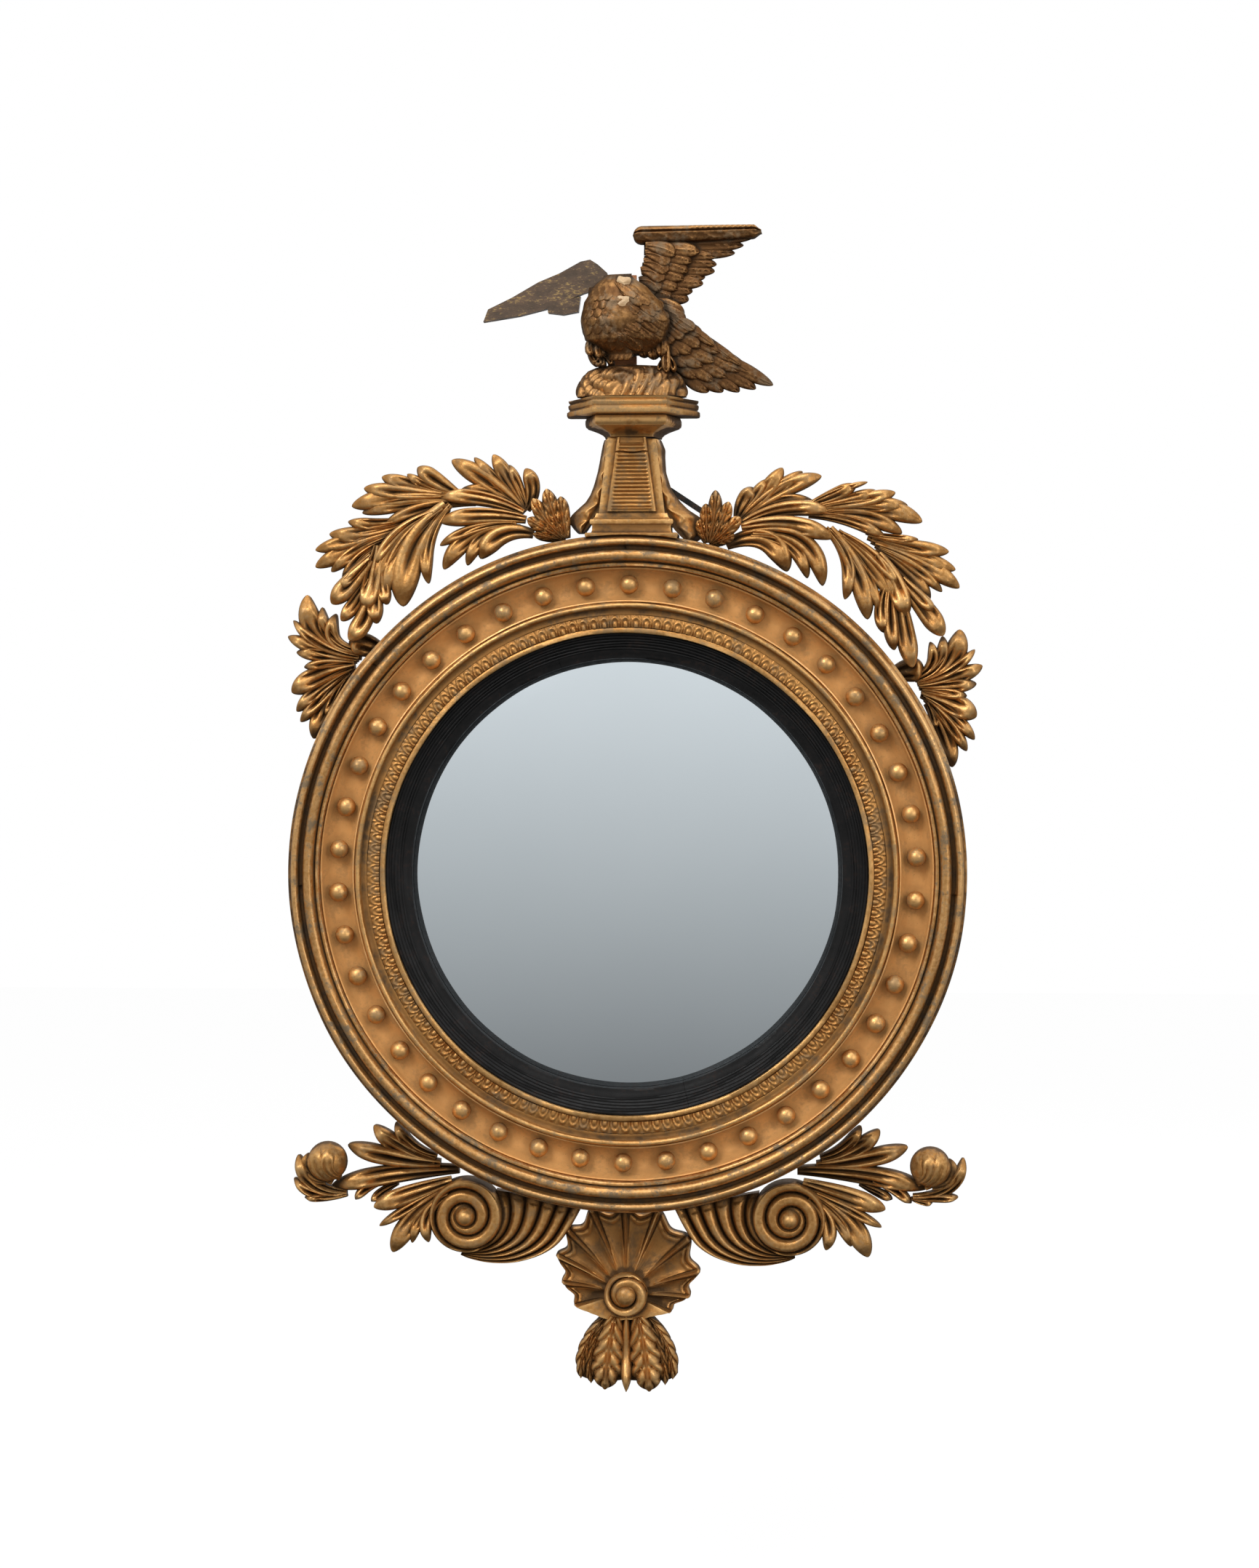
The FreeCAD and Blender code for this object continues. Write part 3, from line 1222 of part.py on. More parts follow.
def make_eagle():
    """The bird on its mound: body with neck stump, two wings, tail, legs and a support board."""
    lift = Vector(0, 0, abacus_top() - DRAWN_ABACUS_TOP)
    mound_front = size("abacus_front") - size("mound_setback")
    mound = prism(spline_face(MOUND, size("mound_back")), mound_front - size("mound_back"))
    mound = mound.cut(block(-200, 200, 400, DRAWN_ABACUS_TOP, -10, 200))
    board_back = size("mound_back") + 2
    board_front = board_back + size("support_thickness")
    foot = DRAWN_ABACUS_TOP + 12
    board = block(-20, 10, foot, foot + size("support_height"), board_back, board_front)
    mound = mound.cut(board)
    body = bird_body().cut(block(-200, 200, 400, 700, -10, board_front))
    upper_wing = prism(polygon_face(RAISED_WING, board_front), size("wing_thickness")).cut(body)
    plain = prism(polygon_face(PLAIN_WING, board_front), size("slab_thickness"))
    feathers = prism(polygon_face(WING_FEATHERS, board_front), size("slab_thickness"))
    plain = plain.fuse(feathers).cut(body)
    tail = prism(polygon_face(TAIL, board_front + 4), size("tail_thickness"))
    tail = tail.cut(body).cut(upper_wing).cut(mound)
    legs = []
    for leg_x, lean in LEG_PLACES:
        leg = bird_leg(leg_x, lean).cut(body).cut(mound).cut(tail)
        legs.append(largest(leg))
    named = [
        ("rock_mound", mound), ("support_board", board), ("eagle_body", body), ("eagle_tail", largest(tail)),
        ("eagle_wing_raised", largest(upper_wing)), ("eagle_wing_plain", largest(plain)),
        ("eagle_legs", Part.makeCompound(legs)),
    ]
    for label, shape in named:
        shape.translate(lift)
        keep(shaped(label, shape), label)


make_carcass()
make_outer_moulding()
make_cavetto()
make_balls()
make_inner_moulding()
make_leaf_band()
make_slip()
make_plate()
make_plate_blocks()
make_backboard()
make_hangers()
make_strap()
make_screws()
make_plinth()
make_capital()
make_abacus()
doc.recompute()
make_spray("left", SPRAY_LEFT)
make_spray("right", SPRAY_RIGHT)
shell_piece = make_shell()
make_scrolls("left", LOWER_LEAF_LEFT, UPPER_LEAF_LEFT, BUD_CALYX_LEFT, CRESCENT_OUTER_LEFT,
             CRESCENT_TOP_LEFT, shell_piece)
make_scrolls("right", LOWER_LEAF_RIGHT, UPPER_LEAF_RIGHT, BUD_CALYX_RIGHT, CRESCENT_OUTER_RIGHT,
             CRESCENT_TOP_RIGHT, shell_piece)
make_brace(make_plinth_leaves())
make_eagle()

doc.recompute()
for item in doc.Objects:
    if "Invalid" in item.State or "Error" in item.State:
        raise RuntimeError("%s did not rebuild" % item.Name)
os.makedirs("parts", exist_ok=True)
for item in written:
    if item.Shape.isNull() or not item.Shape.isValid():
        raise RuntimeError("%s has no valid shape" % item.Label)
    item.Shape.exportStep("parts/%s.step" % item.Label)
print("nodes", len(written))
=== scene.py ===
import math

import bpy
import numpy as np
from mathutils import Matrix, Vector


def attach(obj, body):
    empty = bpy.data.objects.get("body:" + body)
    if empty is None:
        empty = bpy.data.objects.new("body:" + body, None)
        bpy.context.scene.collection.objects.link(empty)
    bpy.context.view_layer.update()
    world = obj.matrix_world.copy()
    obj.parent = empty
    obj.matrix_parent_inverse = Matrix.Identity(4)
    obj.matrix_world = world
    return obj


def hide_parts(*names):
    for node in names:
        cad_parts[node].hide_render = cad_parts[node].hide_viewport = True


# A round convex girandole mirror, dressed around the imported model.
# Shapes are written in millimetres as (x, depth, z): the depth is the distance from the wall plane
# towards the front, and z is the height over the middle of the round frame.

bl_info = {
    "name": "Girandole mirror",
    "version": (1, 0, 0),
    "blender": (4, 5, 0),
    "location": "3D View > Sidebar > Girandole",
    "description": "Gilded round convex mirror with eagle, sprays, scrolls and shell",
    "category": "Add Mesh",
}

MM = 0.001
ROOT_BODY = "frame"
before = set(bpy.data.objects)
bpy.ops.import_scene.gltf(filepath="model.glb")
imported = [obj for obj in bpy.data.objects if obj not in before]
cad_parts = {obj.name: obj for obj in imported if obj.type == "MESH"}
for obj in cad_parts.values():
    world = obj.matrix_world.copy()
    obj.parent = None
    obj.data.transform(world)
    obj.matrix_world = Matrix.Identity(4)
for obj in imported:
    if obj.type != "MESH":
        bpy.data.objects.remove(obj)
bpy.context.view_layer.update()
SHARP_ANGLE = math.radians(52)  # faces that meet at more than this are shaded apart
CARVING_BACK = 7.2  # depth of the flat back of the shell, scrolls and ruffles
PIECES = []  # the carved and turned pieces whose relief is read for painted shade, painted highlight and soil

# ---- tables ----

# Each tongue of a leaf: root x, z, a point half way x, z, tip x, z, and the width near the tip.
# All are millimetres from the centre of the round frame.
ROSETTE_LEFT = [
    (-62, 352, -66, 374, -69, 396, 15), (-64, 352, -77, 380, -84, 404, 17),
    (-66, 352, -86, 374, -98, 394, 16), (-67, 351, -87, 363, -104, 373, 15),
    (-64, 350, -82, 353, -98, 357, 10),
]
TOP_LEAF_LEFT = [
    (-107, 383, -101, 405, -109, 427, 17), (-107, 383, -115, 407, -126, 431, 11),
    (-107, 383, -124, 411, -143, 442, 17), (-108, 382, -136, 410, -163, 439, 13),
    (-109, 381, -147, 412, -187, 436, 21), (-110, 381, -142, 402, -177, 405, 12),
]
MAIN_LEAF_LEFT = [
    (-110, 380, -150, 394, -200, 396, 17), (-180, 401, -199, 412, -222, 428, 19),
    (-188, 401, -211, 408, -233, 421, 11), (-192, 400, -230, 409, -260, 418, 17),
    (-196, 399, -246, 402, -279, 406, 18), (-180, 396, -250, 396, -292, 387, 22),
    (-180, 392, -240, 389, -281, 380, 16), (-160, 390, -220, 384, -259, 366, 14),
    (-232, 374, -268, 368, -296, 371, 14), (-230, 372, -282, 357, -316, 358, 19),
    (-236, 366, -296, 350, -331, 341, 17), (-240, 362, -300, 339, -331, 323, 19),
    (-246, 358, -290, 338, -314, 318, 15), (-250, 352, -284, 332, -302, 308, 13),
    (-254, 348, -279, 331, -291, 313, 10),
]
UNDER_LEAF_LEFT = [
    (-106, 372, -150, 376, -197, 370, 19), (-120, 368, -170, 359, -197, 345, 12),
    (-116, 366, -170, 350, -193, 320, 19), (-112, 364, -152, 352, -168, 324, 15),
    (-98, 357, -134, 355, -154, 331, 22),
]
DROP_LEAF_LEFT = [
    (-186, 388, -208, 352, -209, 305, 15), (-190, 387, -224, 345, -236, 281, 32),
    (-194, 384, -236, 345, -256, 288, 18), (-200, 382, -246, 345, -268, 300, 18),
    (-204, 380, -248, 352, -267, 319, 12),
]
FRONT_LEAF_LEFT = [
    (-262, 345, -268, 310, -276, 275, 22), (-270, 330, -292, 306, -312, 284, 22),
    (-270, 335, -290, 314, -304, 299, 12), (-272, 310, -287, 285, -302, 266, 16),
    (-270, 300, -279, 265, -294, 246, 21), (-262, 315, -266, 288, -264, 263, 18),
    (-258, 325, -257, 302, -253, 283, 15),
]
FAN_LEAF_LEFT = [
    (-258, 232, -277, 240, -297, 243, 26), (-279, 234, -314, 250, -310, 274, 16),
    (-282, 232, -320, 256, -325, 281, 14), (-283, 230, -332, 255, -341, 294, 25),
    (-285, 228, -334, 246, -356, 267, 12), (-286, 226, -333, 238, -362, 250, 16),
    (-288, 224, -326, 230, -353, 233, 15), (-290, 221, -320, 221, -345, 217, 12),
    (-290, 219, -330, 207, -358, 190, 24), (-293, 215, -330, 192, -353, 170, 16),
    (-295, 211, -327, 182, -349, 159, 15), (-298, 207, -323, 174, -335, 141, 20),
    (-300, 204, -312, 183, -320, 162, 12),
]
ROSETTE_RIGHT = [
    (84, 347, 80, 358, 77, 372, 13), (85, 347, 84, 366, 83, 388, 14), (86, 347, 92, 376, 93, 402, 15),
    (88, 347, 101, 372, 107, 390, 15), (89, 346, 106, 361, 119, 374, 15), (87, 344, 102, 350, 113, 356, 11),
]
TOP_LEAF_RIGHT = [
    (115, 373, 121, 390, 133, 406, 17), (115, 373, 131, 395, 147, 415, 12),
    (116, 372, 142, 398, 163, 427, 18), (117, 371, 151, 399, 184, 423, 15),
    (118, 370, 161, 403, 204, 418, 19), (119, 369, 158, 392, 197, 390, 13),
]
MAIN_LEAF_RIGHT = [
    (121, 368, 165, 383, 215, 380, 17), (192, 389, 222, 402, 252, 411, 7),
    (192, 388, 218, 398, 240, 408, 15), (198, 386, 235, 393, 261, 402, 14),
    (202, 385, 248, 392, 281, 400, 16), (206, 383, 262, 387, 294, 386, 17),
    (205, 380, 275, 382, 309, 369, 21), (205, 377, 262, 371, 288, 357, 17),
    (190, 376, 240, 368, 271, 352, 13), (250, 358, 283, 352, 305, 351, 9),
    (252, 354, 303, 342, 337, 338, 17), (256, 350, 312, 330, 344, 319, 17),
    (260, 346, 318, 321, 348, 300, 19), (264, 342, 306, 318, 330, 296, 13),
    (260, 340, 296, 314, 317, 287, 19),
]
UNDER_LEAF_RIGHT = [
    (120, 363, 170, 366, 216, 352, 20), (132, 358, 188, 345, 205, 302, 20),
    (130, 354, 178, 337, 189, 310, 15), (104, 345, 148, 349, 168, 317, 25),
]
DROP_LEAF_RIGHT = [
    (208, 362, 231, 326, 228, 288, 15), (212, 362, 242, 312, 252, 267, 21),
    (216, 360, 250, 312, 266, 273, 13), (220, 358, 258, 322, 284, 284, 20),
    (226, 356, 266, 325, 286, 300, 14),
]
FRONT_LEAF_RIGHT = [
    (262, 335, 280, 305, 292, 270, 22), (288, 310, 306, 290, 322, 275, 14),
    (288, 305, 316, 272, 331, 250, 22), (284, 300, 291, 255, 299, 217, 21),
    (276, 300, 276, 262, 280, 235, 16), (272, 305, 266, 274, 270, 253, 15),
]
FAN_LEAF_RIGHT = [
    (277, 209, 295, 214, 312, 215, 26), (301, 206, 320, 222, 318, 244, 12),
    (302, 204, 328, 224, 331, 250, 14), (304, 202, 341, 226, 349, 257, 24),
    (305, 200, 345, 217, 365, 236, 11), (306, 198, 345, 207, 373, 219, 17),
    (307, 196, 340, 197, 367, 200, 15), (309, 193, 334, 190, 357, 187, 13),
    (309, 190, 338, 180, 367, 165, 25), (311, 187, 342, 166, 365, 141, 14),
    (313, 184, 338, 158, 357, 129, 14), (315, 180, 332, 150, 342, 112, 20),
    (316, 178, 321, 166, 323, 152, 11),
]
SPRAYS = {
    "left": (ROSETTE_LEFT, TOP_LEAF_LEFT, MAIN_LEAF_LEFT, UNDER_LEAF_LEFT, DROP_LEAF_LEFT, FRONT_LEAF_LEFT,
             FAN_LEAF_LEFT),
    "right": (ROSETTE_RIGHT, TOP_LEAF_RIGHT, MAIN_LEAF_RIGHT, UNDER_LEAF_RIGHT, DROP_LEAF_RIGHT,
              FRONT_LEAF_RIGHT, FAN_LEAF_RIGHT),
}
LOWER_LEAF_LEFT = [
    (-186, -327, -235, -344, -270, -357, 21), (-192, -334, -240, -362, -264, -377, 11),
    (-192, -338, -232, -374, -250, -405, 22), (-192, -341, -221, -370, -229, -395, 12),
    (-190, -343, -213, -366, -211, -394, 14),
]
UPPER_LEAF_LEFT = [
    (-180, -318, -250, -324, -318, -338, 22), (-200, -312, -262, -304, -300, -293, 21),
    (-206, -309, -250, -291, -272, -272, 19), (-204, -304, -238, -286, -248, -268, 14),
    (-258, -332, -282, -341, -292, -352, 11), (-246, -334, -264, -344, -275, -354, 10),
]
LOWER_LEAF_RIGHT = [
    (186, -326, 238, -342, 273, -354, 21), (200, -338, 247, -361, 269, -373, 11),
    (196, -338, 240, -375, 255, -405, 24), (196, -342, 228, -374, 237, -394, 13),
    (192, -343, 213, -370, 210, -398, 16),
]
UPPER_LEAF_RIGHT = [
    (180, -316, 250, -320, 318, -334, 22), (200, -310, 262, -301, 297, -290, 20),
    (206, -306, 250, -288, 267, -272, 18), (204, -302, 236, -285, 247, -268, 14),
    (260, -326, 288, -339, 301, -350, 12), (246, -330, 268, -340, 281, -346, 10),
]
BUD_CALYX_LEFT = [
    (-300, -344, -342, -328, -352, -303, 17), (-300, -345, -341, -342, -357, -328, 12),
    (-300, -346, -326, -349, -346, -349, 9),
]
BUD_CALYX_RIGHT = [
    (302, -342, 346, -326, 355, -300, 14), (302, -343, 333, -343, 350, -342, 10),
    (300, -344, 312, -347, 323, -348, 8),
]
SCROLLS = {
    "left": (LOWER_LEAF_LEFT, UPPER_LEAF_LEFT, BUD_CALYX_LEFT),
    "right": (LOWER_LEAF_RIGHT, UPPER_LEAF_RIGHT, BUD_CALYX_RIGHT),
}

# Places and outlines of the other carved pieces, x and z in millimetres.
SHELL_CENTRE = (-1, -447)
# angle in degrees and reach of each scallop of the shell, counter-clockwise from the lower right
SHELL_SCALLOPS = [
    (-24, 52), (-4, 68), (16, 82), (41, 90), (69, 95), (91, 95), (113, 98), (134, 93), (153, 85),
    (172.5, 70), (196, 58),
]
BODY_SECTIONS = [
    # middle x, z, half width and half depth of the bird's body, from the belly up to the neck stump
    (4, 541, 22, 14), (0, 556, 42, 26), (0, 575, 47, 31), (-3, 595, 40, 29), (-6, 612, 27, 20),
    (-8, 622, 14, 12),
]

# ---- numbers and surfaces ----


def ease(start, end, value):
    """0 before start, 1 after end, and a smooth S between them."""
    t = np.clip((value - start) / (end - start), 0, 1)
    return t * t * (3 - 2 * t)


def bump(value, centre, width):
    """A bell of height 1 around the centre."""
    return np.exp(-((value - centre) / width) ** 2)


def ripple(value, sharpness=1.0):
    """Rounded ridges of height 1 with narrow grooves at whole numbers."""
    return np.abs(np.sin(math.pi * value)) ** sharpness


def dome(value, power=2.0):
    """1 at value 0, falling round to 0 at -1 and 1; a higher power keeps it flat for longer."""
    return np.sqrt(np.clip(1 - np.abs(value) ** power, 0, 1))


def full_turn(columns):
    """Angles of a full turn as a row, without the last one that would repeat the first."""
    return np.linspace(0, 2 * math.pi, columns, endpoint=False)[None, :]


def capped(points):
    """A tube of rows, closed by a pole in the middle of each end."""
    ends = [np.repeat(points[row:row + 1].mean(1, keepdims=True), points.shape[1], 1) for row in (0, -1)]
    return np.concatenate([ends[0], points, ends[1]]), False


def wander(x, z, pitch, seed):
    """Smooth uneven values in -1..1, a sum of three slanting waves."""
    a = np.sin(x / pitch * 1.7 + z / pitch * 0.6 + seed)
    b = np.sin(z / pitch * 1.3 - x / pitch * 0.9 + seed * 2.3)
    c = np.sin(x / pitch * 0.5 + z / pitch * 2.1 + seed * 4.1)
    return (a + b + c) / 3


def index_sheet(rows, columns, first, ring):
    """Numbers of the vertices of one sheet. Unless it is a ring, its first and last rows are poles."""
    if ring:
        sheet = first + np.arange(rows * columns).reshape(rows, columns)
        return np.vstack([sheet, sheet[:1]]), rows * columns
    inner = first + 1 + np.arange((rows - 2) * columns).reshape(rows - 2, columns)
    last = first + 1 + (rows - 2) * columns
    return np.vstack([np.full((1, columns), first), inner, np.full((1, columns), last)]), last + 1 - first


def sheet_faces(sheet):
    """Triangles at the poles and quads between, of a sheet whose columns close on themselves."""
    a, b = sheet[:-1], sheet[1:]
    quads = np.stack([a, np.roll(a, -1, 1), np.roll(b, -1, 1), b], -1).reshape(-1, 4)
    first_pole = quads[:, 0] == quads[:, 1]
    last_pole = quads[:, 2] == quads[:, 3]
    threes = np.vstack([quads[first_pole][:, [0, 2, 3]], quads[last_pole][:, [0, 1, 2]]])
    return quads[~(first_pole | last_pole)], threes


def outward(points, quads, threes):
    """Turns the faces round where their signed volume is negative."""
    split = np.vstack([quads[:, [0, 1, 2]], quads[:, [0, 2, 3]], threes])
    corners = points[split]
    volume = np.einsum("ij,ij->i", corners[:, 0], np.cross(corners[:, 1], corners[:, 2])).sum()
    if volume < 0:
        return quads[:, ::-1], threes[:, ::-1]
    return quads, threes


def make_piece(name, patches, finish, nodes, slot="gilded_wood", body=ROOT_BODY):
    """Joins closed patches into one mesh object that stands for CAD nodes.

    A patch is (points, ring): points has the shape (rows, columns, 3) in (x, depth, z) millimetres,
    its columns close on themselves, and its rows end in poles or close as a ring.
    """
    all_points, all_quads, all_threes = [], [], []
    first = 0
    for points, ring in patches:
        rows, columns = points.shape[:2]
        sheet, count = index_sheet(rows, columns, first, ring)
        if ring:
            flat = points.reshape(-1, 3)
        else:
            flat = np.vstack([points[:1, 0], points[1:-1].reshape(-1, 3), points[-1:, 0]])
        place = np.stack([flat[:, 0], -flat[:, 1], flat[:, 2]], -1) * MM
        quads, threes = outward(place, *[faces - first for faces in sheet_faces(sheet)])
        all_points.append(place)
        all_quads.append(quads + first)
        all_threes.append(threes + first)
        first += count
    return mesh_object(name, np.vstack(all_points), np.vstack(all_quads), np.vstack(all_threes),
                       finish, nodes, slot, body)


def new_object(name, data):
    """An object of this data, linked to the scene."""
    thing = bpy.data.objects.new(name, data)
    bpy.context.scene.collection.objects.link(thing)
    return thing


def mesh_object(name, points, quads, threes, finish, nodes, slot, body):
    """Writes the faces in one go, and sets the piece's body, replaced nodes and material slot."""
    mesh = bpy.data.meshes.new(name)
    mesh.vertices.add(len(points))
    mesh.vertices.foreach_set("co", points.astype(np.float32).ravel())
    corners = np.concatenate([quads.ravel(), threes.ravel()])
    mesh.loops.add(len(corners))
    mesh.loops.foreach_set("vertex_index", corners.astype(np.int32))
    totals = np.concatenate([np.full(len(quads), 4), np.full(len(threes), 3)])
    mesh.polygons.add(len(totals))
    mesh.polygons.foreach_set("loop_start", np.concatenate([[0], np.cumsum(totals)[:-1]]).astype(np.int32))
    mesh.polygons.foreach_set("loop_total", totals.astype(np.int32))
    mesh.polygons.foreach_set("use_smooth", np.ones(len(totals), bool))
    mesh.update(calc_edges=True)
    mesh.set_sharp_from_angle(angle=SHARP_ANGLE)
    if mesh.validate():
        raise RuntimeError(name + " has faulty faces")
    piece = new_object(name, mesh)
    mesh.materials.append(finish)
    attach(piece, body)
    if nodes:
        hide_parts(*nodes)
    if slot != "mirror_glass":
        PIECES.append(piece)
    return piece


# ---- forms ----

END_STRIP = 0.03  # degrees


def turned(profile, start_deg=0.0, turn_deg=360.0, steps=360, shape=None):
    """A closed profile of (radius, depth) rows carried round the frame's axis.

    shape, if given, changes the (radius, depth) arrays by the angle in degrees. An arc gets end caps,
    with a narrow strip of faces before each, so that no shading bleeds along the frame from a joint.
    """
    profile = np.asarray(profile, float)
    whole = turn_deg >= 360
    angles = start_deg + np.linspace(0, turn_deg, steps + 1)[:-1 if whole else None]
    if not whole:
        angles = np.sort(np.append(angles, [start_deg + END_STRIP, start_deg + turn_deg - END_STRIP]))
    radius = np.repeat(profile[None, :, 0], len(angles), 0)
    depth = np.repeat(profile[None, :, 1], len(angles), 0)
    if shape is not None:
        radius, depth = shape(radius, depth, angles[:, None])
    turn = np.radians(angles)[:, None]
    points = np.stack([radius * np.cos(turn), depth, radius * np.sin(turn)], -1)
    if whole:
        return points, True
    return capped(points)


def arch(start, end, rise, count=9):
    """Points of a rounded bead between two (across, depth) points, rise over the line between them."""
    t = np.linspace(0, 1, count)
    return [(start[0] + (end[0] - start[0]) * k, start[1] + (end[1] - start[1]) * k
             + rise * math.sqrt(max(0, 1 - (2 * k - 1) ** 2))) for k in t]


def ball(centre, radius, rows=14, columns=24):
    """A sphere from its rear pole to its front pole."""
    up = np.linspace(-math.pi / 2, math.pi / 2, rows)[:, None]
    turn = full_turn(columns)
    x = centre[0] + radius * np.cos(up) * np.cos(turn)
    z = centre[2] + radius * np.cos(up) * np.sin(turn)
    return np.stack([x, centre[1] + radius * np.sin(up) + 0 * turn, z], -1), False


def centre_line(row, u):
    """The quadratic through a tongue's root, middle and tip, and its left normal, at u in 0..1."""
    root, middle, tip = np.array(row[0:2]), np.array(row[2:4]), np.array(row[4:6])
    first = math.hypot(*(middle - root))
    turn = first / (first + math.hypot(*(tip - middle)))
    u = u[:, None]
    place = ((u - turn) * (u - 1) / turn * root + u * (u - 1) / (turn * (turn - 1)) * middle
             + u * (u - turn) / (1 - turn) * tip)
    slope = ((2 * u - 1 - turn) / turn * root + (2 * u - 1) / (turn * (turn - 1)) * middle
             + (2 * u - turn) / (1 - turn) * tip)
    length = np.hypot(slope[:, 0], slope[:, 1])[:, None]
    return place, np.stack([-slope[:, 1], slope[:, 0]], -1) / length


def tongue(row, bed, height, carve, rows=26, across=19, sides=4, teeth=0, lean=0.0):
    """One lobe: the width follows a swelling outline round a curved centre line.

    bed is the depth of its back, a number or a function of (x, z), and carve(u, v) gives the front's
    height in 0..1 along (u in 0..1) and across (v in -1..1) the lobe. teeth notches both edges so
    many times, and lean lifts one edge, so that neighbours lie like shingles.
    """
    u = 1 - (1 - np.linspace(0, 1, rows)) ** 1.5
    place, normal = centre_line(row, u)
    swell = 0.45 + 0.55 * np.sin(math.pi / 2 * np.minimum(u / 0.7, 1))
    half = row[6] / 2 * swell * np.clip(1 - np.clip((u - 0.7) / 0.3, 0, 1) ** 1.8, 0, 1) ** 0.6
    if teeth:
        half = half * (1 - 0.2 * (1 - ripple(u * teeth - 1.2, 0.5)) * ease(0.2, 0.4, u))
    v = np.sin(math.pi / 2 * np.linspace(-1, 1, across))
    rear = np.linspace(0.94, -0.94, sides)
    loop = np.concatenate([v, rear])
    x = place[:, 0:1] + normal[:, 0:1] * half[:, None] * loop
    z = place[:, 1:2] + normal[:, 1:2] * half[:, None] * loop
    base = bed(x, z) if callable(bed) else np.full_like(x, bed)
    tilt = lean * v[None, :] * ease(0, 0.2, u[:, None])
    front = np.clip(carve(u[:, None], v[None, :]) + tilt, 0.05, 1) * height
    depth = base + np.concatenate([front, np.zeros((rows, sides))], 1)
    points = np.stack([x, depth, z], -1)
    points[-1] = points[-1].mean(0)
    return np.concatenate([np.repeat(points[:1].mean(1, keepdims=True), len(loop), 1), points]), False


def lobe_carving(index):
    """Carved lobe: rounded, hollowed along one or two grooves that fade, with a lifted rounded tip.

    The height is a dome across times a rise and fall along, less bells across for the grooves. The
    lobe's number shifts the grooves and lowers the whole, so that neighbours differ.
    """
    double = index % 3 != 1
    lean = 0.12 * ((index * 7) % 5 - 2) / 2
    level = 1 - 0.16 * ((index * 5) % 4) / 3

    def carve(u, v):
        body = dome(v, 2.8)
        rise = 0.5 + 0.26 * ease(0, 0.5, u) + 0.24 * bump(u, 0.78, 0.17)
        fall = 1 - 0.75 * ease(0.84, 1.0, u)
        window = ease(0.0, 0.08, u) * (1 - ease(0.55, 0.84, u))
        if double:
            groove = 0.46 * bump(v, 0.4 + lean, 0.15) + 0.46 * bump(v, -0.4 + lean, 0.15)
        else:
            groove = 0.52 * bump(v, lean, 0.19)
        hollow = 0.2 * bump(v, lean, 0.45) * bump(u, 0.56, 0.25)
        return (0.2 + 0.8 * body * rise * fall - groove * window - hollow) * level
    return carve


def veined_carving(pairs):
    """Small leaf with a midrib and chevron lobes that run down and outwards from it."""
    def carve(u, v):
        body = dome(v, 2.4)
        fall = 1 - 0.5 * ease(0.86, 1.0, u)
        chevron = ripple(u * pairs - np.abs(v) * 1.2, 0.55)
        rib = 0.2 * bump(v, 0, 0.07) - 0.2 * bump(np.abs(v), 0.13, 0.06)
        cut = 0.34 * (1 - chevron) * ease(0.1, 0.3, np.abs(v))
        return 0.16 + 0.72 * body * fall - cut + rib * (1 - ease(0.8, 0.95, u))
    return carve


def feather_carving(barbs):
    """Flat feather with a quill groove and slanting barbs, thicker and rounder towards its tip."""
    def carve(u, v):
        body = dome(v, 4)
        rise = 0.45 + 0.4 * ease(0.05, 0.8, u)
        lines = 0.12 * ripple(u * barbs - np.abs(v) * 1.8, 0.7) * (0.6 + 0.4 * np.sin(u * 9 + v * 2))
        quill = 0.16 * bump(v, 0.02, 0.05) - 0.12 * bump(np.abs(v), 0.14, 0.07)
        return (0.1 + 0.75 * body * rise + lines) * (1 - 0.45 * ease(0.9, 1, u)) + quill * body
    return carve


def feather(row, bed, height, barbs, rows, across, lean=0.0):
    """A tongue carved as a feather."""
    return tongue(row, bed, height, feather_carving(barbs), rows=rows, across=across, sides=3, lean=lean)


def leaf(rows, back, height, carving=lobe_carving, **options):
    """All the tongues of a carved leaf on one back; each has its own carving by its number."""
    return [tongue(row, back, height, carving(index), **options) for index, row in enumerate(rows)]


def disc(centre, radius, back, relief, rows=30, columns=96):
    """A round boss: relief(share of the radius, angle) is the depth of its front."""
    share = np.linspace(0, 1, rows)[:, None]
    turn = full_turn(columns)
    front = relief(share, turn)
    share_all = np.vstack([share, share[-1:], [[0]]])
    depth = np.vstack([front, np.full((2, columns), back)])
    depth[0] = front[0].mean()
    reach = radius(turn) if callable(radius) else radius
    x = centre[0] + share_all * reach * np.cos(turn)
    z = centre[1] + share_all * reach * np.sin(turn)
    return np.stack([x, depth, z], -1), False


def moulded_block(plan, profile, foot=None):
    """A profile of (inset, z) rows, from the foot up, carried round a closed plan of (x, depth).

    The plan shrinks about its middle in x and to the rear in depth by the inset. foot(x), if given, is
    the lowest height that a point may have.
    """
    plan = np.asarray(plan, float)
    middle = (plan[:, 0].max() + plan[:, 0].min()) / 2
    half = (plan[:, 0].max() - plan[:, 0].min()) / 2
    rear, face = plan[:, 1].min(), plan[:, 1].max()
    rows = []
    for inset, height in profile:
        x = middle + (plan[:, 0] - middle) * (half - inset) / half
        depth = rear + (plan[:, 1] - rear) * (face - inset - rear) / (face - rear)
        z = np.full(len(plan), float(height))
        if foot is not None:
            z = np.maximum(z, foot(x))
        rows.append(np.stack([x, depth, z], -1))
    return capped(np.array(rows))


def divided(corners, step=2.0):
    """A closed run of corners with points added every few millimetres."""
    corners = np.asarray(corners, float)
    result = []
    for start, end in zip(corners, np.roll(corners, -1, 0)):
        count = max(1, int(round(np.hypot(*(end - start)) / step)))
        result.append(start + (end - start) * np.linspace(0, 1, count, endpoint=False)[:, None])
    return np.vstack(result)


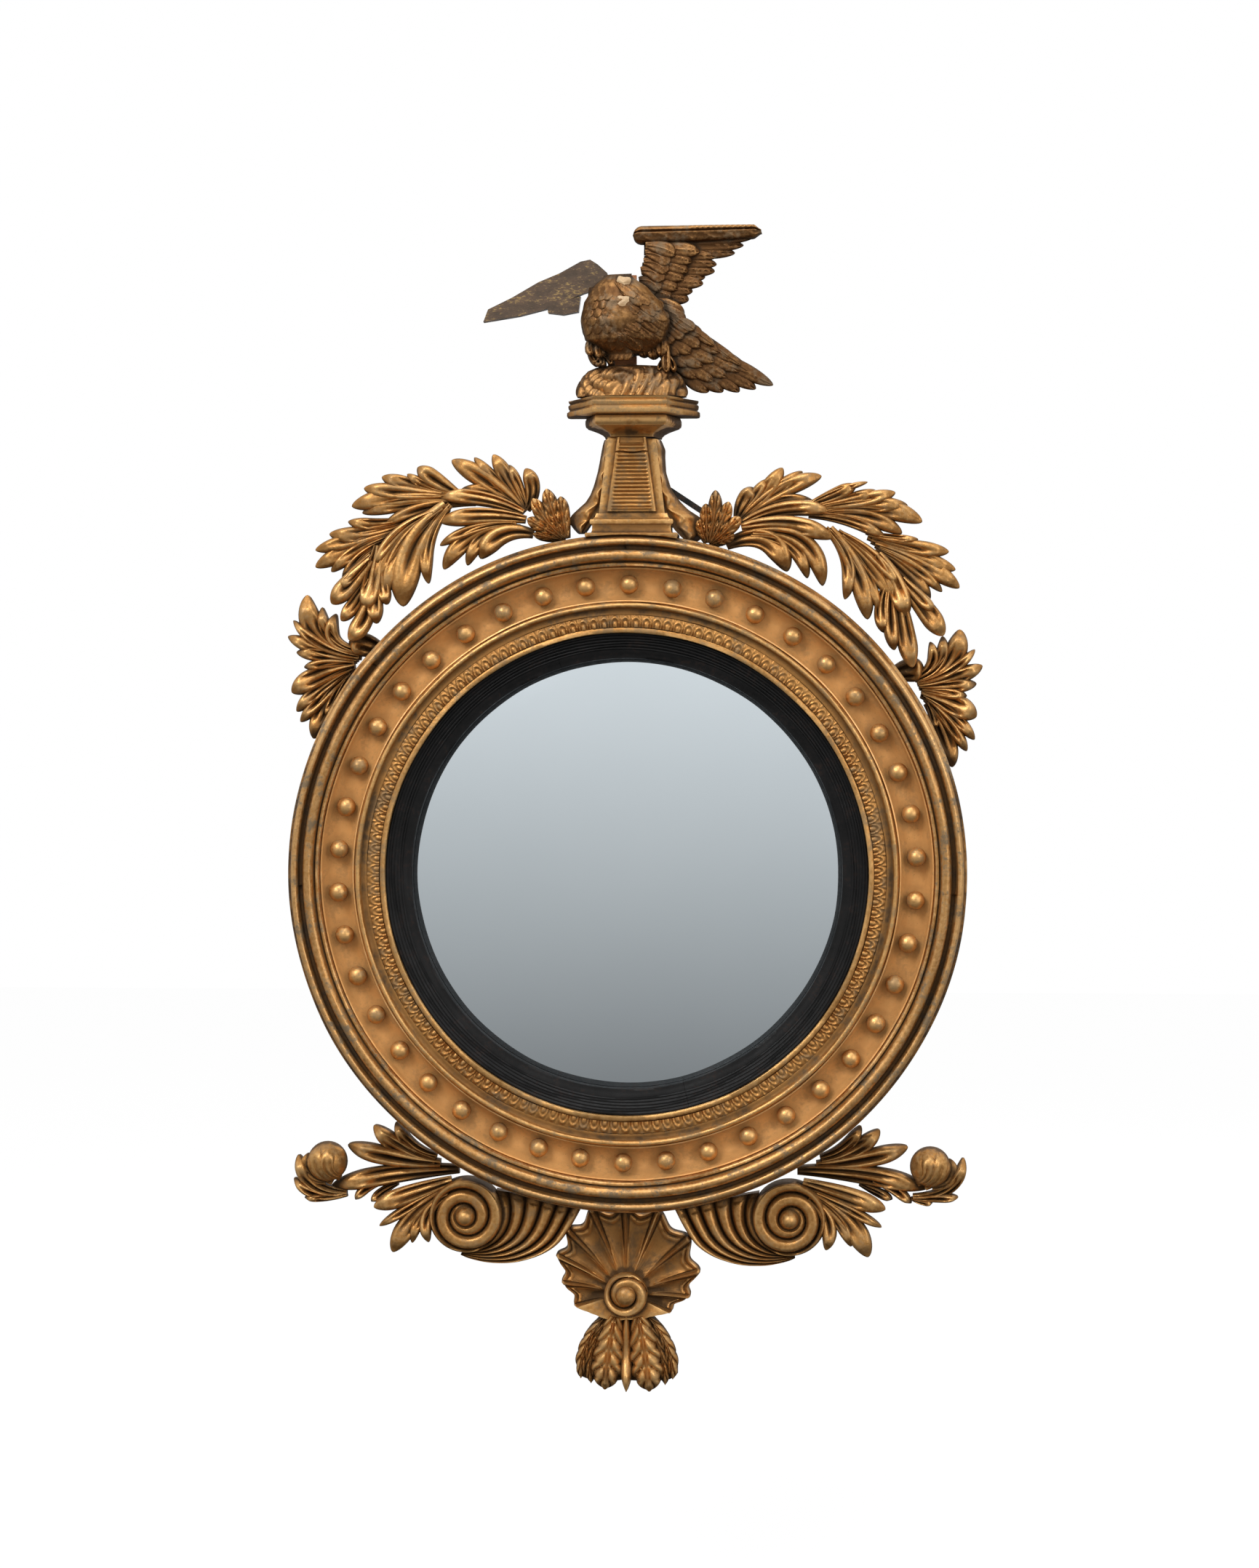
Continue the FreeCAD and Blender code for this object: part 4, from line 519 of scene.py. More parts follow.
def ribbon(first_edge, second_edge, back, relief, across=40):
    """A carved strip between two edges given as (n, 2) points; relief(s, f) is the front's depth.

    s runs along the strip and f across it. The strip is closed by a flat back.
    """
    along = len(first_edge)
    s = np.linspace(0, 1, along)[:, None]
    f = np.linspace(0, 1, across)[None, :]
    place = first_edge[:, None, :] * (1 - f[..., None]) + second_edge[:, None, :] * f[..., None]
    front = relief(s, f)
    rear = place[:, ::-1][:, ::max(1, across // 6)]
    x = np.concatenate([place[..., 0], rear[..., 0]], 1)
    z = np.concatenate([place[..., 1], rear[..., 1]], 1)
    depth = np.concatenate([front, np.full(rear.shape[:2], float(back))], 1)
    return capped(np.stack([x, depth, z], -1))


# ---- the round frame ----

BACK = 30.2          # depth of the back of every turned ring
FRAME_EDGE = 355.0   # radius at which the plinth's foot meets the outer moulding
BALL_CIRCLE = 303.5  # radius of the middle of the hollow, where the balls sit
BALL_DEPTH = 48.4
BALL_START = 89.4    # degrees
BAND_START, BAND_WIDTH = 259.4, 12.2   # the band of small leaves
PLATE_CURVE, PLATE_EDGE, PLATE_TOP, PLATE_THICK = 1008.6, 236, 57.7, 4
FRAME_SEGMENTS = [("upper_right", -3, 93), ("upper_left", 90, 50), ("left", 140, 42), ("lower", 182, 175)]
SLIP_SEGMENTS = [("left", 107.52, 177.74), ("right", 285.3, 182.2)]


def hand_worked(radius, depth, degrees):
    """Turned work of this age is a little uneven: slow waves of a few tenths of a millimetre."""
    turn = np.radians(degrees)
    front = ease(30, 45, depth)
    depth = depth + front * 0.35 * (np.sin(turn * 7 + 1) + np.sin(turn * 17 + radius / 5) * 0.6)
    return radius + 0.25 * front * np.sin(turn * 11 + depth), depth


def outer_profile():
    """Lip, large reed, quirk, small reed and bevel, closed round the back."""
    return ([(322.2, 30), (322.2, 62), (323.2, 63.2), (325.6, 63.2), (326.6, 61.4)]
            + arch((327.5, 62.5), (339.2, 62.5), 7.8, 15) + [(340.4, 60.2), (342.6, 60.2)]
            + arch((343.8, 62), (352, 61.5), 6.6, 11) + [(353, 58.6), (354.6, 57.4), (355.6, 55)]
            + [(355.9, 48), (355.9, 38), (355.9, BACK), (340, BACK)])


def cavetto_profile():
    """Two lips and the deep hollow between them, an arc of a circle from lip to lip."""
    radius, floor, half_width = 16, 37.8, 15.5
    reach = math.asin(half_width / radius)
    turns = [reach * (1 - 2 * t) for t in np.linspace(0, 1, 17)]
    hollow = [(BALL_CIRCLE - radius * math.sin(turn), floor + radius - radius * math.cos(turn))
              for turn in turns]
    return ([(285.2, BACK), (285.2, 55), (286, 56), (287.2, 55.6)] + hollow
            + [(319.8, 55.6), (321, 56), (321.8, 55), (321.8, BACK)])


def inner_profile():
    """Fillet, groove for the leaf band, rubbed hollow and bright bead."""
    return ([(253.2, BACK), (253.2, 58), (254, 59), (257.6, 59), (258.8, 58), (259, 54.2), (271.8, 54.2),
             (272, 56.6), (273, 57), (275, 56.3), (277.4, 56.8), (278.2, 57.4)]
            + arch((278.8, 58.6), (284.6, 58.6), 3.3, 9) + [(284.9, 57), (284.9, BACK)])


def leaf_band(sizes):
    """A ring of small leaves: an arched rim, a pip in it and a dart between, worked out by angle."""
    count = sizes.band_leaves
    bottom, top = 54.1, 57.8
    crown_run = [(BAND_START + BAND_WIDTH * t, top) for t in np.linspace(0, 1, 13)]
    profile = [(BAND_START, bottom)] + crown_run + [(BAND_START + BAND_WIDTH, bottom)]

    def shape(radius, depth, degrees):
        across = (radius - BAND_START) / BAND_WIDTH
        side = np.abs((degrees * count / 360) % 1 - 0.5) * 2
        reach = np.sqrt((side * 0.9) ** 2 + (across * 1.05 - 0.12) ** 2)
        rim = bump(reach, 0.72, 0.13)
        pip = 1.1 * dome(reach / 0.4)
        dart = 0.7 * bump(side, 1, 0.22) * ease(0.35, 0.8, across)
        crown = np.sin(math.pi * np.clip(across, 0, 1)) * 0.6
        worn = 0.7 + 0.3 * wander(degrees, radius * 0, 9, 2)
        lifted = 57 + crown + 2.3 * np.maximum(np.maximum(rim, pip), dart) * worn
        return radius, np.where(depth < 55, depth, lifted)
    return turned(profile, steps=count * 12, shape=shape)


def slip_profile():
    """A plain hollow at the sight, then six fine reeds up to the inner moulding."""
    reeds, pitch, rise = 6, 2.9, 1.5
    rows = [(240, 32.6), (226.2, 32.6), (226.2, 40), (227, 42.2), (229, 42.6), (232, 43.2), (235, 44.6)]
    for index in range(reeds):
        start, low = 235.4 + index * pitch, 44.6 + index * rise
        rows += [(start + out, low + up) for out, up in ((0.3, 0), (0.9, 1.2), (1.8, 1.5), (2.6, 1.1))]
    return rows + [(252.8, 53.6), (252.8, BACK), (240.1, BACK)]


def plate_dome():
    """A shallow sphere cap of even thickness; u runs out and back, v round."""
    out = np.linspace(0, 1, 40)[:, None] ** 0.8 * PLATE_EDGE
    turn = full_turn(160)
    front = PLATE_TOP - (PLATE_CURVE - np.sqrt(PLATE_CURVE ** 2 - out ** 2))
    radius = np.vstack([out, out[::-1]])
    depth = np.vstack([front, front[::-1] - PLATE_THICK])
    x = radius * np.cos(turn)
    return np.stack([x, depth + 0 * turn, radius * np.sin(turn)], -1), False


def make_frame(sizes, finish):
    """The turned rings, each a profile carried round the axis, and the balls on their circle."""
    for name, start, turn in FRAME_SEGMENTS:
        patch = turned(outer_profile(), start - 0.1, turn + 0.2, turn * 3, hand_worked)
        make_piece("moulding_" + name, [patch], finish["rubbed"], ["outer_moulding_" + name])
    hollow = turned(cavetto_profile(), steps=420, shape=hand_worked)
    make_piece("hollow_ring", [hollow], finish["matt"], ["cavetto_ring"])
    inner = turned(inner_profile(), shape=hand_worked)
    make_piece("inner_ring", [inner], finish["frame"], ["inner_moulding"])
    make_piece("leaf_ring", [leaf_band(sizes)], finish["frame"], ["leaf_ornament_band"])
    balls = []
    for index in range(sizes.ball_count):
        turn = math.radians(BALL_START - index * 360 / sizes.ball_count)
        reach = BALL_CIRCLE + 0.5 * math.sin(index * 5.1)
        centre = (reach * math.cos(turn), BALL_DEPTH, reach * math.sin(turn))
        balls.append(ball(centre, sizes.ball_radius / MM + 0.15 * math.sin(index * 3.3)))
    make_piece("gilt_balls", balls, finish["frame"], ["ball_studs"])


def make_slip_and_plate(finish):
    """The reeded slip in its two halves, and the plate behind it."""
    for side, start, turn in SLIP_SEGMENTS:
        half = turned(slip_profile(), start, turn, 300, hand_worked)
        make_piece("slip_" + side, [half], finish["ebony"], ["ebonised_slip_" + side], "ebonised_wood")
    make_piece("convex_plate", [plate_dome()], finish["glass"], ["mirror_plate"], "mirror_glass")


# ---- sprays beside the plinth ----


def make_spray(side, tables, finish):
    """Leaves of carved tongues, each leaf at its own depth, and a small veined rosette beside the plinth."""
    rosette, top, main, under, drop, front, fan = tables
    parts = [("top_leaf_", top, 7, 12), ("main_leaf_", main, 17.5, 13), ("under_leaf_", under, 29, 14),
             ("drop_leaf_", drop, 28, 12.5), ("fan_leaf_", fan, 7.5, 20.5), ("front_leaf_", front, 29, 15)]
    for name, rows, back, height in parts:
        make_piece("carved_" + name + side, leaf(rows, back, height), finish, [name + side])

    def rosette_carving(index):
        return veined_carving(4 + index % 2)
    petals = leaf(rosette, 35.7, 17, rosette_carving)
    make_piece("carved_rosette_" + side, petals, finish, ["rosette_" + side])


# ---- scrolls under the frame ----

VOLUTE_RADIUS, VOLUTE_BUTTON = 39.3, 10.5
VOLUTE_PLACE = (171.5, -365)
BUD_RADIUS = 21.4
BUD_PLACE = (320.0, 23.5, -309.0)
BUD_PETALS = [(306, -327, 318, -312, 312, -293, 16), (314, -331, 330, -314, 327, -291, 17),
              (322, -331, 341, -322, 339, -300, 14)]


def volute(side):
    """A spiral band: the ridge's phase grows with the radius and with the angle."""
    sign = -1 if side == "left" else 1

    def relief(share, turn):
        reach = share * VOLUTE_RADIUS
        wound = turn if side == "left" else math.pi - turn
        phase = (reach - 9.5) / 15.2 - wound / (2 * math.pi)
        band = dome((phase % 1 - 0.5) * 2, 3.2)
        button = dome(reach / VOLUTE_BUTTON)
        coil = 26 + 12.5 * band - 5 * ease(16, 39, reach) * (1 - band)
        depth = np.where(reach < VOLUTE_BUTTON, 33 + 14 * button, coil - 3 * bump(reach, 11, 1.4))
        return depth - 6 * ease(0.94, 1, share)
    return disc((sign * VOLUTE_PLACE[0], VOLUTE_PLACE[1]), VOLUTE_RADIUS, CARVING_BACK,
                relief, 52, 120)


CRESCENT_OUTER = [
    (-178, -408), (-170, -411.5), (-148, -416.5), (-119, -416.5), (-94, -409), (-81, -402), (-71, -394),
    (-62, -381), (-54, -367), (-47.5, -354.5),
]
CRESCENT_INNER = [
    (-176, -404.5), (-158, -402.5), (-150, -398.5), (-142, -391), (-136, -381.5), (-132.6, -370),
    (-132.4, -360), (-134, -352), (-137, -345), (-140.5, -338),
]


def smooth_run(corners, count):
    """A smooth run through corners: linear steps averaged over their neighbours."""
    corners = np.asarray(corners, float)
    stations = np.linspace(0, len(corners) - 1, count)
    run = np.stack([np.interp(stations, np.arange(len(corners)), corners[:, axis]) for axis in (0, 1)], -1)
    for _ in range(count // 5):
        run[1:-1] = (run[:-2] + 2 * run[1:-1] + run[2:]) / 4
    return run


def crescent(side):
    """Reeds that sweep from under the volute up to the frame, broader and higher towards the outside.

    The reeds are domes counted by a power of the share across the strip, and swell along it by a sine.
    """
    sign = 1 if side == "left" else -1
    outer = smooth_run(CRESCENT_OUTER, 80)
    inner = smooth_run(CRESCENT_INNER, 80)
    outer[:, 0] *= sign
    inner[:, 0] *= sign

    def relief(s, f):
        phase = 5.6 * np.clip(f, 0, 1) ** 0.82
        share = np.abs((phase % 1) * 2 - 1)
        reed = dome(share, 2.2)
        tiers = 1 - 0.3 * f
        ends = 1 - 0.35 * ease(0.9, 1.0, s) * (1 - reed)
        swell = 0.72 + 0.28 * np.sin(math.pi * np.clip(s * 1.1, 0, 1)) ** 0.5
        return 7.5 + 23.2 * (0.3 + 0.7 * reed * tiers) * ends * swell
    return ribbon(outer, inner, CARVING_BACK, relief, 100)


def wrapped_leaf(row, centre, radius, height, carving):
    """A tongue that lies on a sphere."""
    def bed(x, z):
        inside = radius ** 2 - (x - centre[0]) ** 2 - (z - centre[2]) ** 2
        return centre[1] + np.sqrt(np.clip(inside, 4, None)) - 2
    return tongue(row, bed, height, carving)


def make_scroll(side, tables, finish):
    """The volute, its crescent and leaves, and the bud: a ball in petals and a calyx."""
    lower, upper, calyx = tables
    sign = -1 if side == "left" else 1
    make_piece("carved_volute_" + side, [volute(side)], finish, ["volute_scroll_" + side])
    make_piece("carved_crescent_" + side, [crescent(side)], finish, ["gadroon_crescent_" + side])
    make_piece("carved_lower_leaf_" + side, leaf(lower, 26, 14), finish, ["lower_leaf_" + side])
    make_piece("carved_upper_leaf_" + side, leaf(upper, CARVING_BACK, 21.6), finish, ["upper_leaf_" + side])
    centre = (sign * BUD_PLACE[0],) + BUD_PLACE[1:]
    petals = [(sign * a, b, sign * c, d, sign * e, f, w) for a, b, c, d, e, f, w in BUD_PETALS]
    patches = [ball(centre, BUD_RADIUS, 20, 36)]
    patches += [wrapped_leaf(row, centre, BUD_RADIUS, 5.2, lobe_carving(index))
                for index, row in enumerate(petals)]
    patches += leaf(calyx, 13.6, 19.5)
    make_piece("carved_bud_" + side, patches, finish, ["bud_" + side])


# ---- shell and pendant ----


def scallop_reach(turn):
    """Reach of the shell's edge by angle: the scallops' own reaches with shallower valleys between."""
    angles, reaches = np.array(SHELL_SCALLOPS, float).T
    degrees = (np.degrees(turn) + 90) % 360 - 90
    foot = (degrees < angles[0]) | (degrees > angles[-1])
    phase = np.interp(degrees, angles, np.arange(len(angles)))
    reach = np.interp(degrees, angles, reaches) * (1 - 0.1 * np.sin(math.pi * phase) ** 2)
    below = np.interp((degrees + 360) % 360, [196, 206, 216, 243, 270, 293, 316, 326, 336],
                      [57, 47, 41, 32.4, 28.6, 30.4, 36.4, 42, 51])
    return np.where(foot, below, np.minimum(reach, np.where(degrees > 196, below, 200))), phase


PENDANT_SIDES = [  # z, left x, right x
    (-475, -27, 25), (-480, -32, 30), (-488, -40, 38), (-496, -46, 44), (-504, -50, 48), (-512, -53, 51),
    (-520, -55, 53), (-528, -56, 54), (-536, -56, 54), (-540, -52, 51), (-543, -45, 45),
]
PENDANT_LEAVES = [  # the seven numbers of a tongue, then the depth of its back and its height
    (-24, -474, -44, -504, -50, -541, 15, 10, 15), (23, -474, 42, -504, 48, -541, 15, 10, 15),
    (-20, -474, -36, -506, -39, -546, 15, 11, 14), (18, -474, 34, -508, 40, -547, 14, 11, 14),
    (-13, -472, -20, -512, -24, -551, 36, 15, 20), (12, -472, 19, -512, 23.5, -552.6, 37, 15, 20),
]
PENDANT_STEM = (-1, -470, -1.5, -512, -1, -552.4, 13)
BOSS_RADIUS, BOSS_BUTTON = 22.8, 11.0


def make_shell(finish):
    """A dish of flutes between scallops under a coiled boss, and the veined leaves that hang from it.

    The scallops are counted by angle, and the flutes deepen with the radius up to a double lip. The
    boss is a spiral band like the volute's, and the pendant's folds run down and outwards.
    """
    def edge(turn):
        return scallop_reach(turn)[0] - 0.4

    def relief(share, turn):
        phase = scallop_reach(turn)[1]
        near = np.abs((phase + 0.5) % 1 - 0.5) * 2
        flute = 1 - dome(1 - near)
        ribs = flute - 0.22 * bump(near, 0.2, 0.06) * ease(0.3, 0.6, share)
        deep = 12.5 * ease(0.1, 0.72, share)
        lip = (5.5 * bump(share, 0.965, 0.02) + 3.4 * bump(share, 0.885, 0.022)) * ease(0.15, 0.5, near)
        dish = 3.5 * np.sin(math.pi * np.clip(share, 0, 1)) ** 2
        depth = 28.2 - dish - deep * (1 - ribs) + lip
        return np.clip(depth, 9, 28.7) - 6 * ease(0.985, 1, share)

    def boss(share, turn):
        reach = share * BOSS_RADIUS
        phase = (reach - 10) / 12.5 + turn / (2 * math.pi)
        band = dome((phase % 1 - 0.5) * 2, 3)
        button = dome(reach / (BOSS_BUTTON + 0.5))
        depth = np.where(reach < BOSS_BUTTON, 38 + 10.5 * button, 33.5 + 9.5 * band)
        return depth - 5 * ease(0.9, 1, share)
    patches = [disc(SHELL_CENTRE, edge, CARVING_BACK, relief, 40, 420),
               disc(SHELL_CENTRE, BOSS_RADIUS, 12, boss, 34, 96)]
    make_piece("carved_shell", patches, finish, ["shell"])
    patches = [tongue(row[:7], row[7], row[8], veined_carving(5), rows=60, across=31, teeth=5)
               for row in PENDANT_LEAVES]
    level, left, right = np.array(PENDANT_SIDES, float).T
    z = np.linspace(level[0], level[-1], 90)
    left = np.stack([np.interp(-z, -level, left) + 0.6, z], -1)
    right = np.stack([np.interp(-z, -level, right) - 0.6, z], -1)

    def folds(s, f):
        side = np.abs(2 * f - 1)
        crown = dome(side, 5)
        fold = 9.5 * (0.6 + 0.4 * ripple(f * 8 + 0.5, 0.6))
        return 7.4 + crown * (fold + 2 * ripple(s * 7 - side * 2, 0.6))

    def stem(u, v):
        return dome(v) * (0.62 - 0.25 * bump(u, 0.45, 0.2) + 0.38 * bump(u, 0.82, 0.14)) + 0.05
    patches.append(ribbon(left, right, CARVING_BACK, folds, 60))
    patches.append(tongue(PENDANT_STEM, 15, 20, stem, rows=40))
    make_piece("carved_pendant", patches, finish, ["leaf_pendant"])


# ---- plinth ----

PLINTH_X = 6        # the plinth stands a little to the right of the frame's middle
BOARD_FACE = 5.5    # depth of the front of the support board behind it


def frame_edge(x):
    """Height of the round frame's outer edge under a point, so a foot ends on it."""
    return np.sqrt(np.clip(FRAME_EDGE ** 2 - x ** 2, 0, None))


def canted(half_back, half_front, front):
    """Plan of a block whose sides go straight forward for 12 mm and then slant in to its front."""
    side = [(half_back, BOARD_FACE), (half_back, BOARD_FACE + 12), (half_front, front)]
    return [(PLINTH_X - x, depth) for x, depth in side] + [(PLINTH_X + x, depth) for x, depth in side[::-1]]


def tapered(half, narrowing, foot, rise, count):
    """Left and right edges of an upright strip that narrows on its way up."""
    t = np.linspace(0, 1, count)
    reach = half - narrowing * t
    return [np.stack([PLINTH_X + side * reach, foot + rise * t], -1) for side in (-1, 1)]


def make_plinth(finish):
    """Steps on the round frame, a tapered shaft with a reeded panel, the hollow neck and the slab on top.

    The shaft's face falls off towards its edges by the eighth power. The panel has rounded bars across
    it inside a raised border, and a crack near its top.
    """
    base = divided([(-42.5, BOARD_FACE), (-42.5, 62), (54.5, 62), (54.5, BOARD_FACE)], 4)
    steps = [(1, 336), (1, 352), (0.4, 353.5), (0.2, 356), (1.4, 357), (6.5, 357.4), (7.4, 360), (7.6, 364),
             (6.8, 366), (5.4, 366.4), (5, 368.6), (5.6, 371), (8, 371.6), (10.4, 374), (11.6, 377.6),
             (11.8, 380.9)]
    make_piece("plinth_steps", [moulded_block(base, steps, frame_edge)], finish["frame"], ["plinth_base"])

    def shaft_face(s, f):
        return 49.6 - 0.8 * (2 * f - 1) ** 8 + 0 * s

    def reeds(s, f):
        side = np.abs(2 * f - 1)
        border = ease(0.78, 0.84, side)
        head = ease(0.9, 0.93, s)
        reed = ripple(s * 19, 0.6) * (1 - border) * (1 - head) * ease(0.02, 0.05, s)
        crack = bump(s, 0.795 + 0.01 * np.sin(f * 9), 0.006)
        uneven = 0.35 * wander(f * 60, s * 75, 7, 3)
        edging = 2.1 * border * (1 - bump(side, 1, 0.03))
        return 51.6 + (1.9 + uneven) * reed + edging - 3 * crack
    shaft = ribbon(*tapered(34.4, 9.4, 377.4, 79.8, 34), 5.6, shaft_face, 24)
    make_piece("shaft", [shaft], finish["frame"], ["plinth_shaft"])
    panel = ribbon(*tapered(26, 11, 379.6, 77.2, 150), 49.8, reeds, 44)
    make_piece("reeds", [panel], finish["frame"], ["reeded_panel"])
    neck = divided(canted(50.5, 36.4, 73.8), 3)
    rows = [(21, 457.1), (20.4, 459), (18, 461.4), (13, 464), (6.5, 466.4), (2.4, 467.8), (2.2, 468.6),
            (0.6, 469.4), (0, 472), (0, 475.6), (1, 478), (2.4, 478.9)]
    make_piece("neck", [moulded_block(neck, rows)], finish["frame"], ["capital"])
    slab = divided(canted(70, 39, 85.8), 3)
    rows = [(3.4, 479.1), (0.8, 479.6), (0, 481.4), (0.2, 484.6), (2, 485.6), (3, 487), (1.8, 488.4),
            (1.4, 491.4), (2.8, 492.6), (3.6, 493.6), (2.2, 494.6), (1.6, 496.6), (2.6, 497.9)]
    make_piece("abacus_slab", [moulded_block(slab, rows)], finish["frame"], ["abacus"])


RUFFLE_LEFT = [  # z, inner x, outer x
    (357.8, -48, -52), (362, -44.5, -56), (367, -40.5, -59.6), (372, -37, -60.8), (377, -34, -58),
    (382, -31, -52.5), (390, -28.2, -43.5), (398, -26.4, -38.4), (406, -25.2, -35.2), (422, -23.4, -30.6),
    (438, -21.4, -27.6), (450, -20, -25.4), (455.6, -19.4, -23.5),
]
RUFFLE_RIGHT = [
    (349.5, 65, 73), (354, 60, 80), (360, 54.5, 83.6), (366, 50, 84), (374, 45, 77), (382, 41.2, 64.5),
    (390, 39.4, 56.5), (398, 38.2, 50), (406, 37.2, 45.4), (422, 35.2, 40.4), (438, 33.2, 39.4),
    (446, 32.4, 39.6), (455.6, 31.4, 35.5),
]


def make_ruffles(finish):
    """Ruffled leaf edging that closes the shaft's sides.

    A hollow runs beside the shaft, then a wavy crest in front, and folds fall back to the silhouette.
    """
    def relief(s, f):
        crest = 0.34 + 0.13 * np.sin(s * 34)
        front = 44.6 - 3 * bump(f, 0.16, 0.1) + 1.6 * bump(f, crest, 0.09)
        fall = ease(crest, 1.05, f)
        folds = 2.6 * np.sin(s * 34 + 1.2 + f * 3) * fall * (1.2 - fall)
        return np.clip(front - 15 * fall ** 1.3 + folds, 9, 45.9)

    under_shaft = 3.6
    for side, table, shift in (("left", RUFFLE_LEFT, under_shaft), ("right", RUFFLE_RIGHT, -under_shaft)):
        level, inner, outer = np.array(table, float).T
        z = np.linspace(level[0], level[-1], 150)
        edges = [np.stack([np.interp(z, level, x), z], -1) for x in (inner + shift, outer)]
        for edge in edges:
            for _ in range(5):
                edge[1:-1, 0] = (edge[:-2, 0] + 2 * edge[1:-1, 0] + edge[2:, 0]) / 4
        ruffle = ribbon(*edges, CARVING_BACK, relief, 40)
        make_piece("ruffle_" + side, [ruffle], finish["frame"], ["plinth_leaf_" + side])


# ---- rock, bird and wings ----

BODY_DEPTH = 56  # depth of the middle of the bird's body
MOUND_WALL = [  # share of the reach and share of the drop, from the top of the rock to its foot
    (0, 0), (0.3, 0.02), (0.55, 0.05), (0.65, 0.1), (0.76, 0.18), (0.86, 0.33), (0.93, 0.52), (0.975, 0.72),
    (1, 1),
]


def make_mound(finish):
    """A rock carved with flame-like tongues: a dome whose wall is cut by rising, bending grooves."""
    rows, columns = 60, 260
    share = np.linspace(0, 1, rows)[:, None]
    turn = full_turn(columns)
    stations = np.linspace(0, 1, len(MOUND_WALL))
    reach, drop = [np.interp(share, stations, column) for column in zip(*MOUND_WALL)]
    bend = turn * 9 + 2.6 * np.sin(drop * 3.1 + 2 * np.sin(turn * 2)) + 0.9 * np.sin(turn * 4)
    flames = np.abs(np.sin(bend)) ** 0.6
    second = np.abs(np.sin(turn * 14 - drop * 4 + 1.3 * np.sin(turn * 5 + 1))) ** 0.7
    cut = (5.2 * (1 - flames) + 2.4 * (1 - second)) * ease(0.25, 0.55, share)
    x = PLINTH_X + (59.6 * reach - cut * 0.9) * np.cos(turn)
    depth = 46.7 + (29.2 * reach - cut * 0.6) * np.sin(turn)
    height = 531.6 - 33.4 * drop - cut * 0.5 * (1 - drop)
    points = np.stack([x, depth, height + 0 * turn], -1)
    points[0] = points[0].mean(0)
    base = np.repeat(points[-1:].mean(1, keepdims=True), columns, 1)
    make_piece("rock", [(np.concatenate([points, base]), False)], finish["eagle"], ["rock_mound"])


def body_shape(z):
    """Middle, half width and half depth of the bird's body at a height."""
    heights = [row[1] for row in BODY_SECTIONS]
    return [np.interp(z, heights, [row[column] for row in BODY_SECTIONS]) for column in (0, 2, 3)]


def on_body(x, z):
    """Depth of a feather's bed: just inside the loft of ellipses, and held back to stay in the CAD box."""
    middle, half, thick = body_shape(z)
    inside = np.clip(1 - ((x - middle) / half) ** 2, 0.02, 1)
    return np.minimum(BODY_DEPTH + thick * np.sqrt(inside) - 2.2, 80.4)


def chip(turn):
    """Reach of the edge of a broken place: a rounded, uneven rectangle."""
    side = np.maximum(np.abs(np.cos(turn + 0.2)), np.abs(np.sin(turn + 0.2)))
    return 6.6 / side ** 0.8 + 0.6 * np.sin(turn * 3)


def make_body(finish):
    """A loft of ellipses read from a table by height, feathers in rows on it, and the two pale breaks."""
    z = np.linspace(541.5, 625, 40)[:, None]
    turn = full_turn(72)
    middle, half, thick = body_shape(z)
    grain = 0.5 * np.sin(z / 2.3 + 3 * np.sin(turn * 2)) + 0.5 * np.sin(turn * 23 + z / 3)
    x = middle + (half + 0.5 * grain) * np.cos(turn)
    depth = np.maximum(BODY_DEPTH + (thick + 0.6 * grain) * np.sin(turn), 29)
    patches = [capped(np.stack([x, depth, z + 0 * turn], -1))]
    for tier in range(8):  # staggered rows on the left of the breast, from the neck down
        height = 604 - tier * 8.4
        middle, half, thick = body_shape(height)
        for place in range(4 if tier > 4 else 3):
            spread = (place + 0.5 * (tier % 2)) / 4 - 0.95
            x = middle + spread * half * 0.9
            row = (x - 2, height + 7, x, height - 2, x + 3, height - 11, 13)
            patches.append(feather(row, on_body, 4.3, 6, 22, 11))
    for tier in range(8):  # longer feathers that slant down to the right
        for place, slant in enumerate((0.75, 0.72, 0.62)):
            x = -9 + place * 14 + tier % 2 * 5 + tier * 0.8
            z = 615 - tier * 8.6 - place * 9 + 1.5 * math.sin(tier * 3 + place)
            middle, half, thick = body_shape(min(z - 10, 616))
            reach = min(24, middle + half * 0.97 - x)
            if reach < 12 or z < 560:
                continue
            row = (x, z, x + reach * 0.5, z - reach * slant * 0.45, x + reach, z - reach * slant, 15)
            patches.append(feather(row, on_body, 6.4, 8, 34, 15, -0.22))
    for tier in range(4):  # the belly
        for place in range(2):
            x = -3 + place * 15 + tier % 2 * 3
            z = 566 - tier * 5.6 - place * 3
            row = (x - 3, z + 3, x + 6, z + 1, x + 16, z - 4, 11)
            patches.append(feather(row, on_body, 5.6, 6, 30, 13, -0.2))
    make_piece("bird_body", patches, finish["eagle"], ["eagle_body"])

    def neck_break(share, turn):
        return 77.5 - 1.6 * share + 0.8 * np.sin(turn * 3) * share

    def breast_break(share, turn):
        return 86.2 - 1.6 * share + 0.6 * np.sin(turn * 2) * share
    breaks = [disc((-1, 613), chip, 66, neck_break, 8, 28), disc((-1, 592), chip, 76, breast_break, 8, 28)]
    make_piece("pale_breaks", breaks, finish["break"], [], "bare_pine")


